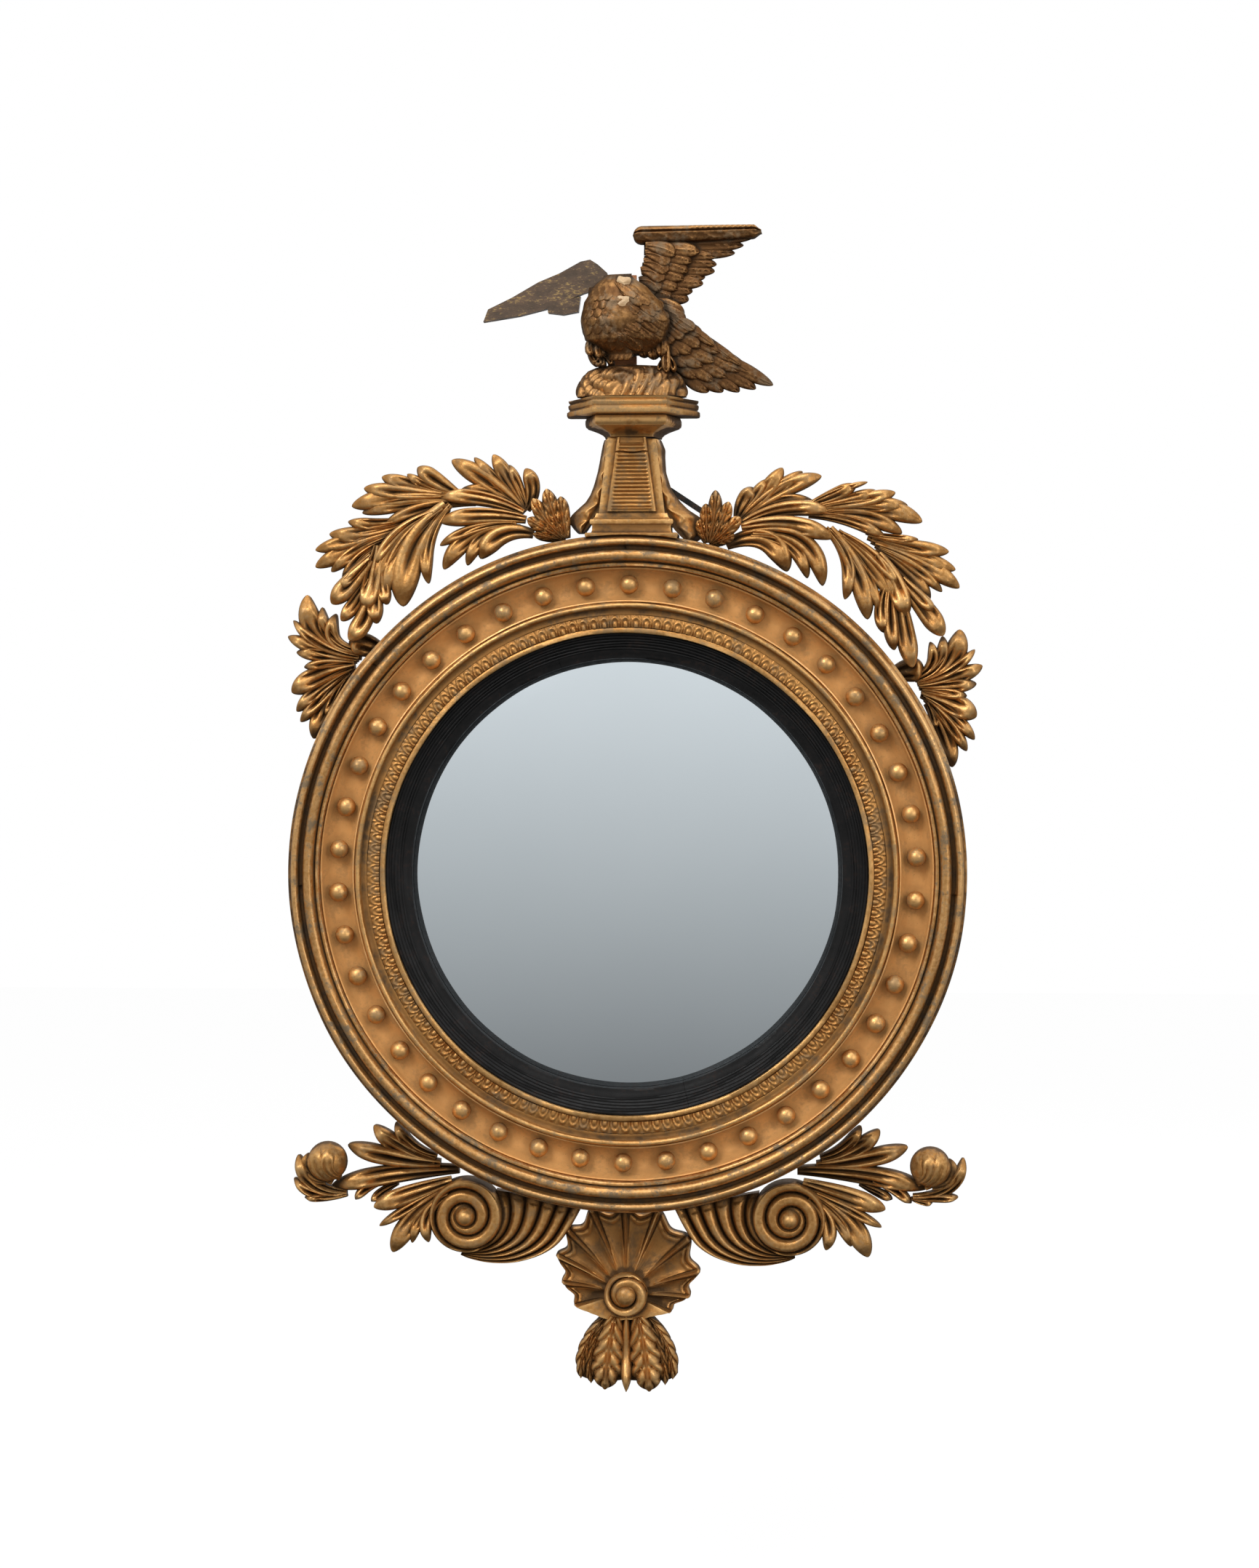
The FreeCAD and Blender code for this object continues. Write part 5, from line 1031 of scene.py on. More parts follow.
WING_ROWS = [
    # root x, z, middle x, z, tip x, z, width, tier counted from the front
    (16, 598, 34, 599, 53, 593, 17, 0), (14, 606, 40, 605, 65, 600, 17, 0),
    (14, 613, 44, 612, 69, 609, 16, 0), (16, 622, 48, 620, 80, 617, 16, 0),
    (16, 630, 50, 626, 82, 624, 15, 1), (16, 636, 54, 633, 92, 630, 16, 1),
    (18, 643, 56, 641, 94, 637, 15, 1), (18, 650, 60, 648, 94, 645, 14, 1),
    (18, 652, 66, 651, 113, 649, 15, 2), (18, 656, 72, 657, 122, 657, 15, 2),
    (18, 660, 76, 663, 132, 665, 14, 2), (24, 655, 46, 653, 76, 650, 17, -1),
    (22, 647, 44, 646, 68, 639, 18, -1), (20, 638, 40, 638, 64, 629, 18, -1),
    (17, 629, 38, 629, 60, 621, 18, -1), (14, 620, 34, 619, 54, 611, 18, -1),
    (13, 611, 30, 609, 48, 602, 17, -1), (20, 656, 34, 654, 52, 646, 17, -2),
    (20, 648, 32, 646, 45, 635, 18, -2), (18, 639, 29, 638, 43, 626, 18, -2),
    (15, 630, 27, 629, 38, 617, 18, -2), (13, 620, 24, 619, 35, 608, 17, -2),
    (12, 611, 20, 611, 29, 603, 15, -2),
]
TAIL_ROWS = [
    # root x, z, middle x, z, tip x, z, width, tier counted from the front
    (36, 545, 62, 524, 86, 504, 20, 3), (40, 550, 72, 527, 101, 504, 20, 3),
    (44, 555, 86, 529, 118, 504, 20, 3), (48, 560, 94, 533, 135, 507, 19, 3),
    (52, 566, 102, 537, 153, 511, 17, 3), (56, 572, 96, 545, 132, 522, 14, 3),
    (36, 548, 56, 534, 74, 518, 19, 2), (40, 553, 66, 535, 91, 515, 19, 2),
    (44, 558, 76, 538, 105, 519, 19, 2), (48, 564, 84, 544, 118, 525, 17, 2),
    (54, 572, 84, 554, 112, 534, 14, 2), (34, 552, 48, 544, 64, 530, 18, 1),
    (38, 558, 58, 545, 80, 530, 19, 1), (42, 564, 66, 549, 92, 535, 18, 1),
    (48, 571, 72, 558, 97, 544, 15, 1), (32, 560, 44, 553, 56, 541, 18, 0),
    (36, 566, 52, 556, 68, 543, 18, 0), (42, 573, 60, 562, 78, 550, 17, 0),
    (50, 579, 62, 572, 80, 560, 13, 0), (55, 580, 72, 566, 92, 551, 10, 0),
    (60, 576, 88, 554, 120, 531, 11, 2), (52, 580, 60, 575, 72, 567, 12, -1),
    (31, 598, 46, 593, 60, 582, 13, 1), (30, 592, 46, 586, 62, 576, 15, 0),
    (29, 584, 44, 577, 58, 567, 16, 0), (28, 576, 42, 568, 55, 558, 16, 0),
    (33, 568, 40, 563, 50, 553, 16, -1), (40, 574, 50, 567, 60, 558, 15, -1),
    (46, 579, 54, 573, 66, 565, 12, -1),
]


def make_wings(finish):
    """A raised wing of feathers under a moulded leading edge, and the feathers of back and tail.

    The edge is a flattened dome across with a ledge, scales and a slanting rope. Each tier of feathers
    lies a few millimetres behind the one in front of it.
    """
    patches = [feather(row, 33 - 2.2 * tier, 5.8 if tier >= 0 else 6.4, 12, 44, 15, -0.22)
               for *row, tier in WING_ROWS]
    t = np.linspace(0, 1, 120)
    opening = dome(1 - np.clip(t / 0.07, 0, 1)) * (1 - 0.72 * ease(0.93, 1, t))
    spine = np.stack([6.6 + 134.6 * t, 666.5 + 3.4 * t ** 1.5], -1)
    low = spine - np.stack([0 * t, (8.6 - 2.6 * t ** 2) * opening], -1)
    high = spine + np.stack([0 * t, (11.2 - 2.8 * t ** 2) * opening], -1)

    def edge_relief(s, f):
        rope = 1.7 * ripple(s * 24 + f * 3, 0.8) * bump(f, 0.86, 0.12) * ease(0.4, 0.5, s)
        ledge = 2.4 * bump(f, 0.66, 0.04) + 1.2 * ease(0.6, 0.3, f) * np.abs(np.sin(s * 19 + f * 4)) ** 0.6
        round_edge = np.sqrt(np.clip(1 - np.abs(2 * f - 1) ** 5, 0.04, 1))
        return 27.4 + 13.2 * round_edge - ledge + rope
    patches.append(ribbon(low, high, 28.6, edge_relief, 24))
    make_piece("raised_wing", patches, finish["eagle"], ["eagle_wing_raised"])

    def back_bed(tier):
        return lambda x, z: 47 + 2.6 * bump(x, 34, 30) - 3 * ease(100, 155, x) - 3 * tier
    feathers = [feather(row, back_bed(tier), 5.6, 14, 46, 15, -0.2) for *row, tier in TAIL_ROWS]
    make_piece("bird_tail", feathers, finish["eagle"], ["eagle_tail"])


THIGHS = [  # root x, z, middle x, z, tip x, z, width, height
    (36, 566, 38, 553, 38, 538, 17, 17), (26, 563, 28, 551, 30, 536, 17, 18),
    (15, 561, 18, 550, 21, 538, 16, 19), (6, 558, 8, 549, 11, 540, 14, 19),
    (-34, 560, -35, 550, -33, 540, 15, 17), (-25, 558, -26, 548, -24, 537, 15, 18),
]
TOES = [  # the same for the gripping toes
    (-39, 545, -33, 537, -30, 529, 8, 15), (-33, 545, -26, 537, -22, 527, 8, 17),
    (-28, 545, -18, 538, -13, 528, 8, 17), (42, 540, 37, 531, 34, 522, 7, 17),
    (43, 540, 43, 530, 42, 520, 7, 18), (45, 540, 49, 531, 50, 522, 7, 17),
]


def make_legs(finish):
    """Feathered thighs and shanks, and gripping toes, on each side."""
    toe = lobe_carving(1)
    patches = [feather(row, 52, height, 6, 26, 15, -0.2) for *row, height in THIGHS]
    patches += [tongue((-37, 549, -30, 543, -19, 537, 15), 46.5, 19, feather_carving(5), rows=24),
                tongue((-38, 545, -33, 539, -27, 533, 13), 48, 20, toe),
                tongue((-34, 541, -29, 535, -25, 529, 9), 54, 15, toe),
                tongue((43, 550, 42, 538, 43, 521, 11), 58, 8.5, feather_carving(5), rows=24)]
    patches += [tongue(row, 50, height, toe, rows=22, across=11, sides=3) for *row, height in TOES]
    make_piece("bird_legs", patches, finish["eagle"], ["eagle_legs"])


# ---- finishes ----


def tint(code):
    """Linear colour of a #rrggbb code."""
    parts = [int(code[index:index + 2], 16) / 255 for index in (1, 3, 5)]
    return [part / 12.92 if part <= 0.04045 else ((part + 0.055) / 1.055) ** 2.4 for part in parts] + [1.0]


class Graph:
    """Short calls to add and link nodes in one node tree."""

    def __init__(self, tree):
        self.tree = tree

    def add(self, kind, inputs=None, **settings):
        """A new node with its settings, and with values or links at its inputs."""
        node = self.tree.nodes.new(kind)
        for key, value in settings.items():
            setattr(node, key, value)
        for key, value in (inputs or {}).items():
            self.feed(node.inputs[key], value)
        return node

    def feed(self, socket, value):
        """Links an output to a socket, or sets the socket's value."""
        if isinstance(value, bpy.types.NodeSocket):
            self.tree.links.new(value, socket)
        else:
            socket.default_value = value

    def noise(self, place, scale, detail=3.0, rough=0.5):
        """Noise between 0 and 1 whose patches shrink as the scale grows."""
        node = self.add("ShaderNodeTexNoise", {"Vector": place, "Scale": scale, "Detail": detail,
                                               "Roughness": rough})
        return node.outputs["Fac"]

    def span(self, value, low, high, to_low=0.0, to_high=1.0):
        """Carries low..high over to to_low..to_high and holds it there."""
        node = self.add("ShaderNodeMapRange", {"Value": value, "From Min": low, "From Max": high,
                                               "To Min": to_low, "To Max": to_high})
        return node.outputs["Result"]

    def maths(self, operation, first, second):
        """The result of an operation on two numbers."""
        node = self.add("ShaderNodeMath", operation=operation)
        self.feed(node.inputs[0], first)
        self.feed(node.inputs[1], second)
        return node.outputs[0]

    def blend(self, factor, first, second):
        """A mix of two colours: the first at factor 0, the second at 1."""
        node = self.add("ShaderNodeMix", data_type="RGBA")
        self.feed(node.inputs["Factor"], factor)
        self.feed(node.inputs["A"], first)
        self.feed(node.inputs["B"], second)
        return node.outputs["Result"]


VECTOR, COLOUR, NUMBER = "NodeSocketVector", "NodeSocketColor", "NodeSocketFloat"


def node_group(name, inputs, outputs):
    """A node group, its graph and its two ends. A default of None is for inputs that are always fed."""
    group = bpy.data.node_groups.new(name, "ShaderNodeTree")
    for label, kind, default in inputs:
        socket = group.interface.new_socket(name=label, in_out="INPUT", socket_type=kind)
        if default is not None:
            socket.default_value = default
    for label, kind in outputs:
        group.interface.new_socket(name=label, in_out="OUTPUT", socket_type=kind)
    graph = Graph(group)
    return group, graph, graph.add("NodeGroupInput"), graph.add("NodeGroupOutput")


def gilding_group():
    """Old water gilding: lighter on ridges, partly burnished leaf and partly painted highlight; darker in
    hollows, partly soil and partly painted shade; bole and grey ground where it is rubbed.

    The relief, moved a little by noise, decides how far a place is a ridge or a hollow.
    """
    group, g, given, result = node_group(
        "Old gilding",
        [("Place", VECTOR, None), ("Relief", NUMBER, None), ("Gold", COLOUR, None), ("Bright", COLOUR, None),
         ("Bole", COLOUR, tint("#74421F")), ("Dirt", COLOUR, tint("#2C1E13")),
         ("Grey", COLOUR, tint("#6B5D4A")), ("Rubbing", NUMBER, 0.4), ("Soiling", NUMBER, 0.85)],
        [("Colour", COLOUR), ("Roughness", NUMBER), ("Leaf", NUMBER), ("Height", NUMBER)])
    given = given.outputs
    place, relief = given["Place"], given["Relief"]
    broad = g.noise(place, 9.0, 3.0)
    middle = g.noise(place, 46.0, 4.0, 0.6)
    fine = g.noise(place, 240.0, 3.0, 0.6)
    speck = g.noise(place, 900.0, 2.0)
    half_fine = g.maths("MULTIPLY", fine, 0.5)
    uneven = g.maths("ADD", g.maths("MULTIPLY", broad, 0.5), g.maths("MULTIPLY", middle, 0.5))
    base = g.blend(g.span(uneven, 0.4, 0.62), given["Bole"], given["Gold"])
    base = g.blend(0.72, base, given["Gold"])
    # Painted highlight: ridges are lightened towards the bright tone, partly for the burnished leaf of the
    # high places and partly as a highlight painted into the colour.
    height = g.maths("MULTIPLY", relief, -1.0)
    ridge = g.span(g.maths("ADD", height, g.span(fine, 0.3, 0.7, -0.25, 0.25)), 0.1, 0.75)
    base = g.blend(g.maths("MULTIPLY", ridge, 0.8), base, given["Bright"])
    rubbed = g.maths("MULTIPLY", g.span(g.maths("ADD", middle, half_fine), 0.76, 0.9), given["Rubbing"])
    base = g.blend(rubbed, base, given["Grey"])
    # Painted shade: hollows are darkened towards the dark soil tone, partly for soil lodged there and partly
    # for the shade that falls in them.
    hollow = g.span(g.maths("ADD", relief, g.span(middle, 0.3, 0.7, -0.2, 0.2)), 0.0, 0.75)
    base = g.blend(g.maths("MULTIPLY", hollow, given["Soiling"]), base, given["Dirt"])
    base = g.blend(g.span(speck, 0.68, 0.76, 0, 0.5), base, given["Dirt"])
    g.feed(result.inputs["Colour"], base)
    rough = g.maths("ADD", g.span(fine, 0.3, 0.7, 0.3, 0.48), g.maths("MULTIPLY", hollow, 0.3))
    g.feed(result.inputs["Roughness"], rough)
    leafy = g.maths("MULTIPLY", g.maths("SUBTRACT", 1.0, g.maths("MULTIPLY", hollow, 0.8)),
                    g.maths("SUBTRACT", 1.0, rubbed))
    g.feed(result.inputs["Leaf"], g.maths("MULTIPLY", leafy, 0.78))
    g.feed(result.inputs["Height"], g.maths("ADD", g.maths("MULTIPLY", middle, 0.6), half_fine))
    return group


def wear_group():
    """Plain worn surfaces: two tones by a stretched grain, with a third in worn patches."""
    group, g, given, result = node_group(
        "Worn surface",
        [("Place", VECTOR, None), ("Dark", COLOUR, None), ("Light", COLOUR, None), ("Patch", COLOUR, None),
         ("Pitch", NUMBER, None), ("Patches", NUMBER, None)],
        [("Colour", COLOUR), ("Roughness", NUMBER), ("Height", NUMBER)])
    given = given.outputs
    place, pitch = given["Place"], given["Pitch"]
    grain = g.noise(place, pitch, 5.0, 0.65)
    fine = g.noise(place, g.maths("MULTIPLY", pitch, 6.0), 3.0, 0.6)
    base = g.blend(g.span(grain, 0.35, 0.65), given["Dark"], given["Light"])
    patch = g.span(g.maths("ADD", g.maths("MULTIPLY", fine, 0.6), g.maths("MULTIPLY", grain, 0.5)), 0.6, 0.68)
    base = g.blend(g.maths("MULTIPLY", patch, given["Patches"]), base, given["Patch"])
    g.feed(result.inputs["Colour"], base)
    g.feed(result.inputs["Roughness"], g.span(fine, 0.3, 0.7, 0.35, 0.6))
    g.feed(result.inputs["Height"], g.maths("ADD", grain, g.maths("MULTIPLY", fine, 0.4)))
    return group


def new_finish(name):
    """A new material with its graph, its shader and the place on the object."""
    material = bpy.data.materials.new(name)
    material.use_nodes = True
    graph = Graph(material.node_tree)
    place = graph.add("ShaderNodeTexCoord").outputs["Object"]
    return material, graph, material.node_tree.nodes["Principled BSDF"], place


def coat(graph, shader, group, bump_strength, bump_height, values):
    """Feeds a shader from a node group: colour, roughness and unevenness. Gives the group's outputs."""
    effect = graph.add("ShaderNodeGroup", values, node_tree=group).outputs
    graph.feed(shader.inputs["Base Color"], effect["Colour"])
    graph.feed(shader.inputs["Roughness"], effect["Roughness"])
    uneven = graph.add("ShaderNodeBump", {"Height": effect["Height"], "Strength": bump_strength,
                                          "Distance": bump_height})
    graph.feed(shader.inputs["Normal"], uneven.outputs["Normal"])
    return effect


def gilded(name, group, bump_strength=0.5, leaf=1.0, **values):
    """A gilded surface: leaf is the share of metal where the gold is whole."""
    material, graph, shader, place = new_finish(name)
    relief = graph.add("ShaderNodeAttribute", attribute_name="relief").outputs["Fac"]
    effect = coat(graph, shader, group, bump_strength, 0.0012, {"Place": place, "Relief": relief, **values})
    graph.feed(shader.inputs["Metallic"], graph.maths("MULTIPLY", effect["Leaf"], leaf))
    shader.inputs["Specular IOR Level"].default_value = 0.3
    shader.inputs["Specular Tint"].default_value = (0.85, 0.72, 0.55, 1)
    return material


def worn(name, group, stretch=(1, 1, 1), metallic=0.0, specular=0.5, **values):
    """A plain worn surface whose grain is stretched along the axes."""
    material, graph, shader, place = new_finish(name)
    mapped = graph.add("ShaderNodeMapping", {"Vector": place, "Scale": stretch}).outputs["Vector"]
    coat(graph, shader, group, 0.3, 0.0008, {"Place": mapped, **values})
    shader.inputs["Metallic"].default_value = metallic
    shader.inputs["Specular IOR Level"].default_value = specular
    return material


def silvered_glass():
    """Old looking glass: silver behind glass with faint uneven tone and slight haze."""
    material, graph, shader, place = new_finish("silvered glass")
    cloud = graph.span(graph.noise(place, 6.0, 3.0), 0.3, 0.7)
    fine = graph.noise(place, 400.0, 2.0)
    graph.feed(shader.inputs["Base Color"], graph.blend(cloud, (0.72, 0.79, 0.83, 1), (0.74, 0.81, 0.85, 1)))
    graph.feed(shader.inputs["Roughness"], graph.span(fine, 0.3, 0.8, 0.05, 0.08))
    shader.inputs["Metallic"].default_value = 1.0
    return material


WORN_FINISHES = {  # name, dark, light and patch tones, pitch of the grain and share of patches
    "ebony": ("ebonised wood", "ebony", "#141313", "#4A2E1E", 40.0, 0.12, {"specular": 0.2}),
    "pine": ("bare pine", "#8A6440", "pine", "#5F4226", 20.0, 0.3, {"stretch": (6, 6, 1)}),
    "break": ("pale break", "#B29068", "#D2B58C", "#8C6A44", 120.0, 0.4, {}),
    "iron": ("wrought iron", "#1B1A19", "#33302C", "#5A3B28", 90.0, 0.5, {"metallic": 0.6}),
    "steel": ("screw steel", "#77746D", "#A09C93", "#6B4A33", 200.0, 0.4, {"metallic": 0.9}),
    "brass": ("hanger brass", "#8C6B33", "#B8924C", "#4E3B22", 160.0, 0.5, {"metallic": 0.9}),
    "brown": ("worn brown wood", "#40301F", "#5E4733", "#A5874C", 45.0, 0.7, {"stretch": (1, 1, 2.5)}),
    "terracotta": ("terracotta board", "#9A5C32", "board", "#7A4524", 50.0, 0.4, {"stretch": (1, 1, 4)}),
}


def make_finishes(colours):
    """All the materials by name; a tone is a #rrggbb code or the name of one of the add-on's colours."""
    def tone(code):
        return tint(code) if code[0] == "#" else tuple(getattr(colours, code))

    tones = {key: tone(key.lower()) for key in ("Gold", "Bright", "Bole", "Dirt", "Grey")}
    gilding, wear = gilding_group(), wear_group()
    finishes = {
        "carved": gilded("carved gilding", gilding, **tones),
        "frame": gilded("frame gilding", gilding, Rubbing=0.6, **tones),
        # Matt leaf in the deep hollow; its tones are set far lighter than the frame's gold as a painted sheen
        # of light in the hollow, and its painted shade is kept low.
        "matt": gilded("matt gilding", gilding, leaf=0.45, Gold=tone("hollow_gold"),
                       Bright=tone("hollow_bright"), Rubbing=0.25, Soiling=0.2),
        # Its bright tone is partly a painted highlight on the reeds.
        "rubbed": gilded("rubbed gilding", gilding, Gold=tones["Gold"], Bright=tint("#DDB077"), Rubbing=0.9),
        # Its dark tone is both soil and painted shade in the bird's hollows.
        "eagle": gilded("dull gilding", gilding, 0.6, Gold=tone("bird_gold"), Bright=tone("bird_bright"),
                        Bole=tint("#4A301C"), Dirt=tint("#20160E"), Rubbing=0.6),
        "glass": silvered_glass(),
    }
    for key, (name, dark, light, patch, pitch, patches, options) in WORN_FINISHES.items():
        finishes[key] = worn(name, wear, Dark=tone(dark), Light=tone(light), Patch=tone(patch), Pitch=pitch,
                             Patches=patches, **options)
    return finishes


PLAIN_NODES = {
    "pine": ["carcass_ring", "backboard", "plate_blocks"],
    "iron": ["iron_brace_right", "crest_back_strap"],
    "steel": ["wood_screws"],
    "brass": ["hanger_plates", "hanging_ring_left", "hanging_ring_right"],
    "brown": ["eagle_wing_plain"],
    "terracotta": ["support_board"],
}


def dress_plain_nodes(finish):
    """New materials for the nodes that keep the shape of their solids."""
    for name, nodes in PLAIN_NODES.items():
        for node in nodes:
            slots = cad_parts[node].data.materials
            slots.clear()
            slots.append(finish[name])


# ---- relief for painted shade, painted highlight and soil ----


def blurred(heights, known, reach):
    """Mean of the known heights in a square window, by running sums."""
    def window(values):
        padded = np.pad(values, ((reach + 1, reach), (reach + 1, reach)))
        total = padded.cumsum(0).cumsum(1)
        side = 2 * reach + 1
        return total[side:, side:] - total[:-side, side:] - total[side:, :-side] + total[:-side, :-side]
    return window(heights * known) / np.maximum(window(known), 1)


MAP_CELL = 1.2                           # millimetres
MAP_CORNER = np.array([-380.0, -570.0])  # x and z of the map's lower left corner
MAP_CELLS = (640, 1050)


def relief_for_shade_highlight_and_soil():
    """Stores each vertex's relief, read by the gilding for painted shade and soil in hollows and a painted
    highlight on ridges: above 0 where the front around it stands higher, below 0 on ridges.

    The front of the whole mirror is read as a map of depths in square cells, which is blurred over
    two distances; the relief is the difference between the blurred map and the vertex's own depth.
    """
    heights = np.full(MAP_CELLS, -1.0)
    coordinates = []
    for piece in PIECES:
        count = len(piece.data.vertices)
        place = np.empty(count * 3, np.float32)
        piece.data.vertices.foreach_get("co", place)
        place = place.reshape(-1, 3) / MM
        where = tuple(((place[:, [0, 2]] - MAP_CORNER) / MAP_CELL).astype(int).T)
        coordinates.append((piece, place, where))
        np.maximum.at(heights, where, -place[:, 1])
    for _ in range(4):  # fills the cells that no vertex fell into
        empty = heights < 0
        spread = np.max([np.roll(heights, (a, b), (0, 1)) for a in (-1, 0, 1) for b in (-1, 0, 1)], 0)
        heights = np.where(empty, spread, heights)
    known = (heights > 0).astype(float)
    near = blurred(heights, known, 3)
    far = blurred(heights, known, 9)
    for piece, place, where in coordinates:
        own = -place[:, 1]
        relief = (near[where] - own) / 4.5 + (far[where] - own) / 16
        attribute = piece.data.attributes.new("relief", "FLOAT", "POINT")
        attribute.data.foreach_set("value", np.clip(relief, -1, 1).astype(np.float32))


# ---- stage ----


def plain_material(name, colour, white_to_camera):
    """A pale surface that shows white in the background but keeps soft shadows."""
    material = bpy.data.materials.new(name)
    material.use_nodes = True
    graph = Graph(material.node_tree)
    shader = material.node_tree.nodes["Principled BSDF"]
    shader.inputs["Base Color"].default_value = colour
    shader.inputs["Roughness"].default_value = 0.9
    path = graph.add("ShaderNodeLightPath")
    seen = graph.maths("MULTIPLY", path.outputs["Is Camera Ray"], white_to_camera)
    glow = graph.add("ShaderNodeEmission", {"Color": (1, 1, 1, 1), "Strength": 1.0})
    mixed = graph.add("ShaderNodeMixShader", {0: seen, 1: shader.outputs[0], 2: glow.outputs[0]})
    output = material.node_tree.nodes["Material Output"]
    graph.feed(output.inputs["Surface"], mixed.outputs[0])
    return material


FLOOR_REACH, FLOOR_LEVEL = 6.0, -0.80
LAMPS = [  # name, place, the point aimed at, width, property that holds the power
    ("key", (-1.6, -2.6, 2.4), (0, 0, 0.1), 1.6, "key_power"),
    ("fill", (2.4, -2.4, 0.9), (0, 0, 0), 1.8, "fill_power"),
    ("top", (0.2, -0.9, 3.0), (0, 0, 0.2), 1.6, "top_power"),
    ("back", (0.6, 2.6, 1.6), (0, 0, 0), 2.4, "fill_power"),
]


def aim_at(thing, target):
    """Turns a lamp or camera so that its -Z axis points at the target."""
    direction = Vector(target) - thing.location
    thing.rotation_euler = direction.to_track_quat("-Z", "Y").to_euler()


def make_stage(look):
    """Pale floor, white surroundings, soft lamps and the camera at the photograph's angle."""
    mesh = bpy.data.meshes.new("floor")
    corners = [(FLOOR_REACH * x, FLOOR_REACH * y, FLOOR_LEVEL)
               for x, y in ((-1, -1), (1, -1), (1, 1), (-1, 1))]
    mesh.from_pydata(corners, [], [(0, 1, 2, 3)])
    floor = new_object("floor", mesh)
    mesh.materials.append(plain_material("pale floor", (0.86, 0.86, 0.86, 1), 0.92))
    floor.visible_glossy = False
    floor.visible_diffuse = False
    make_world()
    for name, place, aim, width, power in LAMPS:
        lamp = bpy.data.lights.new(name, "AREA")
        lamp.size = width
        lamp.energy = getattr(look, power)
        light = new_object(name, lamp)
        light.location = place
        aim_at(light, aim)
    lens = bpy.data.cameras.new("camera")
    lens.sensor_fit = "VERTICAL"
    lens.sensor_height = 36
    lens.lens = look.lens
    camera = new_object("camera", lens)
    camera.location = look.camera_place
    aim_at(camera, look.camera_aim)
    bpy.context.scene.camera = camera
    bpy.context.scene.view_settings.view_transform = "Standard"


def make_world():
    """White to the camera and to refracted rays; metal sees a soft room, pale above and grey below."""
    world = bpy.data.worlds.new("studio")
    bpy.context.scene.world = world
    world.use_nodes = True
    graph = Graph(world.node_tree)
    background = world.node_tree.nodes["Background"]
    place = graph.add("ShaderNodeTexCoord").outputs["Generated"]
    height = graph.add("ShaderNodeSeparateXYZ", {"Vector": place}).outputs["Z"]
    room = graph.span(height, -0.9, 0.75, 0.07, 1.04)
    path = graph.add("ShaderNodeLightPath")
    seen = graph.maths("MAXIMUM", path.outputs["Is Camera Ray"], path.outputs["Is Transmission Ray"])
    grey = graph.add("ShaderNodeCombineColor", {"Red": room, "Green": room, "Blue": room}).outputs["Color"]
    graph.feed(background.inputs["Color"], graph.blend(seen, grey, (1, 1, 1, 1)))
    background.inputs["Strength"].default_value = 1.0


# ---- add-on ----


class GirandoleSizes(bpy.types.PropertyGroup):
    """Sizes and numbers of the repeated ornament"""
    ball_radius: bpy.props.FloatProperty(
        name="Ball radius", description="Radius of a gilt ball in the hollow", default=0.010,
        unit="LENGTH", subtype="DISTANCE")
    ball_count: bpy.props.IntProperty(name="Balls", description="Gilt balls around the hollow", default=42)
    band_leaves: bpy.props.IntProperty(
        name="Leaves of the band", description="Small leaves around the inner moulding", default=150)


def colour(name, description, code):
    """A colour property whose default is a #rrggbb code."""
    return bpy.props.FloatVectorProperty(name=name, description=description, default=tint(code), size=4,
                                         min=0.0, max=1.0, subtype="COLOR")


def power(name, description, watts):
    """A property for the power of a lamp."""
    return bpy.props.FloatProperty(name=name, description=description, default=watts, unit="POWER")


class GirandoleColours(bpy.types.PropertyGroup):
    """Tones of the gilding, wood and slip"""
    gold: colour("Gold", "Middle tone of the leaf", "#B4834A")
    # The bright tone is partly a painted highlight on the ridges of the gilding.
    bright: colour("Bright gold", "Leaf on the high places", "#DDAE70")
    bole: colour("Bole", "Clay that shows where the leaf is rubbed away", "#74421F")
    # The dark soil tone also stands for painted shade in the hollows of the gilding.
    dirt: colour("Dirt", "Soil in the hollows", "#2C1E13")
    grey: colour("Grey", "Dust and bare ground on rubbed places", "#6B5D4A")
    # The matt hollow's tones are set far lighter than the frame's gold: matt leaf with a painted sheen of
    # light in the hollow.
    hollow_gold: colour("Hollow gold", "Middle tone of the matt hollow", "#F0B46E")
    hollow_bright: colour("Hollow bright gold", "High places of the matt hollow", "#F6C68A")
    bird_gold: colour("Bird gold", "Middle tone of the dull leaf on the bird", "#664629")
    # The bird's bright tone is partly a painted highlight on its high places.
    bird_bright: colour("Bird bright gold", "High places of the bird", "#A97D4C")
    ebony: colour("Ebonised wood", "Black of the slip", "#0A0A0A")
    board: colour("Support board", "Lighter tone of the board behind the bird", "#BC7B4A")
    pine: colour("Bare pine", "Lighter tone of the carcass and backboard", "#B58D60")


class GirandoleLook(bpy.types.PropertyGroup):
    """Lamps and camera"""
    key_power: power("Key lamp", "Power of the large lamp above left", 58.0)
    fill_power: power("Fill lamps", "Power of the lamps at the right and behind", 24.0)
    top_power: power("Top lamp", "Power of the lamp overhead", 26.0)
    lens: bpy.props.FloatProperty(name="Lens", description="Focal length in millimetres", default=67.1)
    camera_place: bpy.props.FloatVectorProperty(
        name="Camera", description="Where the camera stands", default=(0.17, -3.1, 0.22), subtype="XYZ")
    camera_aim: bpy.props.FloatVectorProperty(
        name="Aim", description="The point at the middle of the picture", default=(0.0035, -0.045, 0.0950),
        subtype="XYZ")


FINISHES = {}  # the materials by name, filled by main()


class StageOperator(bpy.types.Operator):
    """Make the floor, surroundings, lamps and camera"""
    bl_idname = "girandole.stage"
    bl_label = "Stage"

    def execute(self, context):
        make_stage(context.scene.girandole_look)
        return {"FINISHED"}


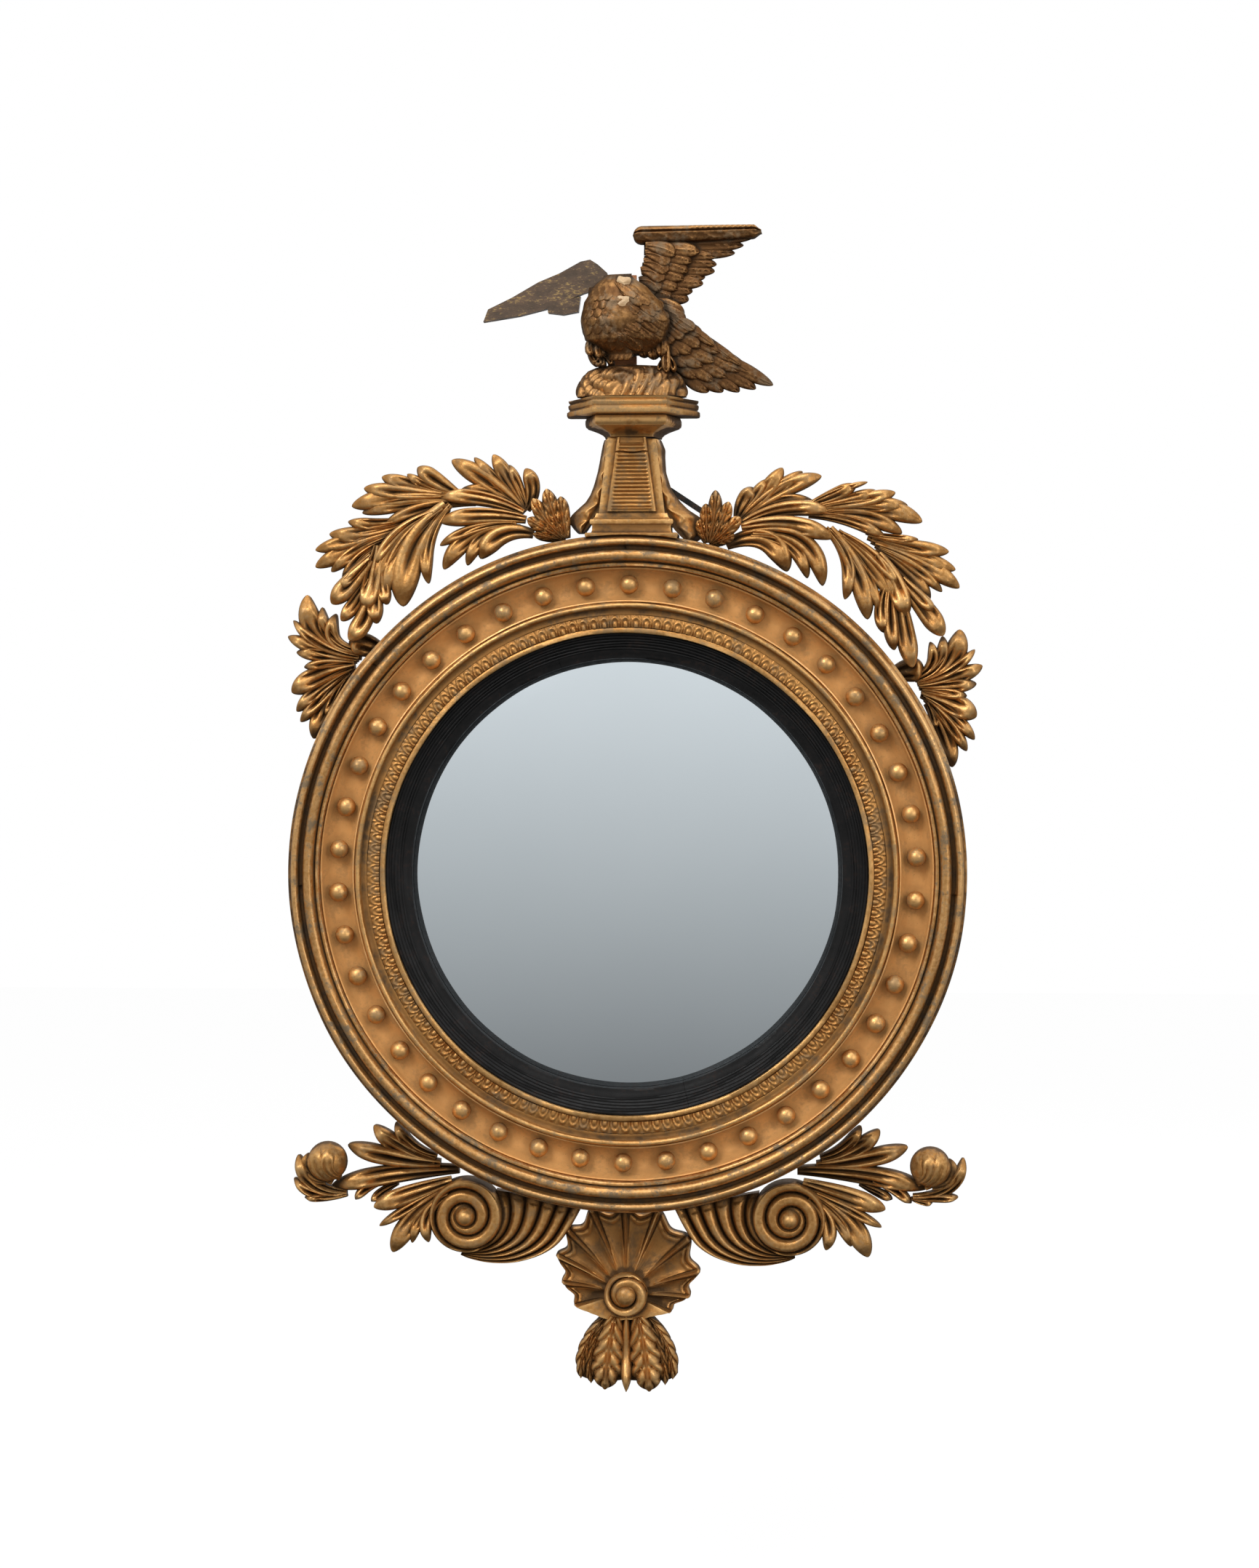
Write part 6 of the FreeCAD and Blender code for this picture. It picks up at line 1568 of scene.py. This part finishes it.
class FrameOperator(bpy.types.Operator):
    """Make the turned mouldings, the leaf band and the gilt balls"""
    bl_idname = "girandole.frame"
    bl_label = "Round frame"

    def execute(self, context):
        make_frame(context.scene.girandole_sizes, FINISHES)
        return {"FINISHED"}


class PlateOperator(bpy.types.Operator):
    """Make the ebonised slip and the convex plate"""
    bl_idname = "girandole.plate"
    bl_label = "Slip and plate"

    def execute(self, context):
        make_slip_and_plate(FINISHES)
        return {"FINISHED"}


class SprayOperator(bpy.types.Operator):
    """Make the leaf sprays beside the plinth"""
    bl_idname = "girandole.sprays"
    bl_label = "Sprays"

    def execute(self, context):
        for side, tables in SPRAYS.items():
            make_spray(side, tables, FINISHES["carved"])
        return {"FINISHED"}


class ScrollOperator(bpy.types.Operator):
    """Make the volutes, crescents, leaves and buds under the frame"""
    bl_idname = "girandole.scrolls"
    bl_label = "Scrolls"

    def execute(self, context):
        for side, tables in SCROLLS.items():
            make_scroll(side, tables, FINISHES["carved"])
        return {"FINISHED"}


class ShellOperator(bpy.types.Operator):
    """Make the shell and the leaf pendant"""
    bl_idname = "girandole.shell"
    bl_label = "Shell and pendant"

    def execute(self, context):
        make_shell(FINISHES["carved"])
        return {"FINISHED"}


class PlinthOperator(bpy.types.Operator):
    """Make the plinth with its reeds, ruffled leaves, neck and abacus"""
    bl_idname = "girandole.plinth"
    bl_label = "Plinth"

    def execute(self, context):
        make_plinth(FINISHES)
        make_ruffles(FINISHES)
        return {"FINISHED"}


class EagleOperator(bpy.types.Operator):
    """Make the rock and the bird on it"""
    bl_idname = "girandole.eagle"
    bl_label = "Rock and bird"

    def execute(self, context):
        make_mound(FINISHES)
        make_body(FINISHES)
        make_wings(FINISHES)
        make_legs(FINISHES)
        return {"FINISHED"}


class FinishOperator(bpy.types.Operator):
    """Give the plain parts their finishes and map the carving's relief for its painted shade, painted
    highlight and soil
    """
    bl_idname = "girandole.finish"
    bl_label = "Plain parts and weathering"

    def execute(self, context):
        dress_plain_nodes(FINISHES)
        relief_for_shade_highlight_and_soil()
        return {"FINISHED"}


STEPS = (StageOperator, FrameOperator, PlateOperator, SprayOperator, ScrollOperator, ShellOperator,
         PlinthOperator, EagleOperator, FinishOperator)


class GirandolePanel(bpy.types.Panel):
    """Sizes, look, colours and the steps in their order"""
    bl_idname = "VIEW3D_PT_girandole"
    bl_label = "Girandole mirror"
    bl_space_type = "VIEW_3D"
    bl_region_type = "UI"
    bl_category = "Girandole"

    def draw(self, context):
        scene = context.scene
        for group, names in ((scene.girandole_sizes, ("ball_radius", "ball_count", "band_leaves")),
                             (scene.girandole_look, ("key_power", "fill_power", "top_power", "lens")),
                             (scene.girandole_colours, GirandoleColours.__annotations__)):
            for name in names:
                self.layout.prop(group, name)
        for step in STEPS:
            self.layout.operator(step.bl_idname)


CLASSES = (GirandoleSizes, GirandoleColours, GirandoleLook) + STEPS + (GirandolePanel,)


def register():
    """Registers the classes and hangs the properties on the scene."""
    for item in CLASSES:
        bpy.utils.register_class(item)
    bpy.types.Scene.girandole_sizes = bpy.props.PointerProperty(type=GirandoleSizes)
    bpy.types.Scene.girandole_colours = bpy.props.PointerProperty(type=GirandoleColours)
    bpy.types.Scene.girandole_look = bpy.props.PointerProperty(type=GirandoleLook)


def unregister():
    """Takes back what register() did."""
    del bpy.types.Scene.girandole_look
    del bpy.types.Scene.girandole_colours
    del bpy.types.Scene.girandole_sizes
    for item in reversed(CLASSES):
        bpy.utils.unregister_class(item)


def main():
    """Builds everything in order."""
    register()
    FINISHES.update(make_finishes(bpy.context.scene.girandole_colours))
    for step in STEPS:
        group, name = step.bl_idname.split(".")
        getattr(getattr(bpy.ops, group), name)()
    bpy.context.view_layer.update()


if __name__ == "__main__":
    main()
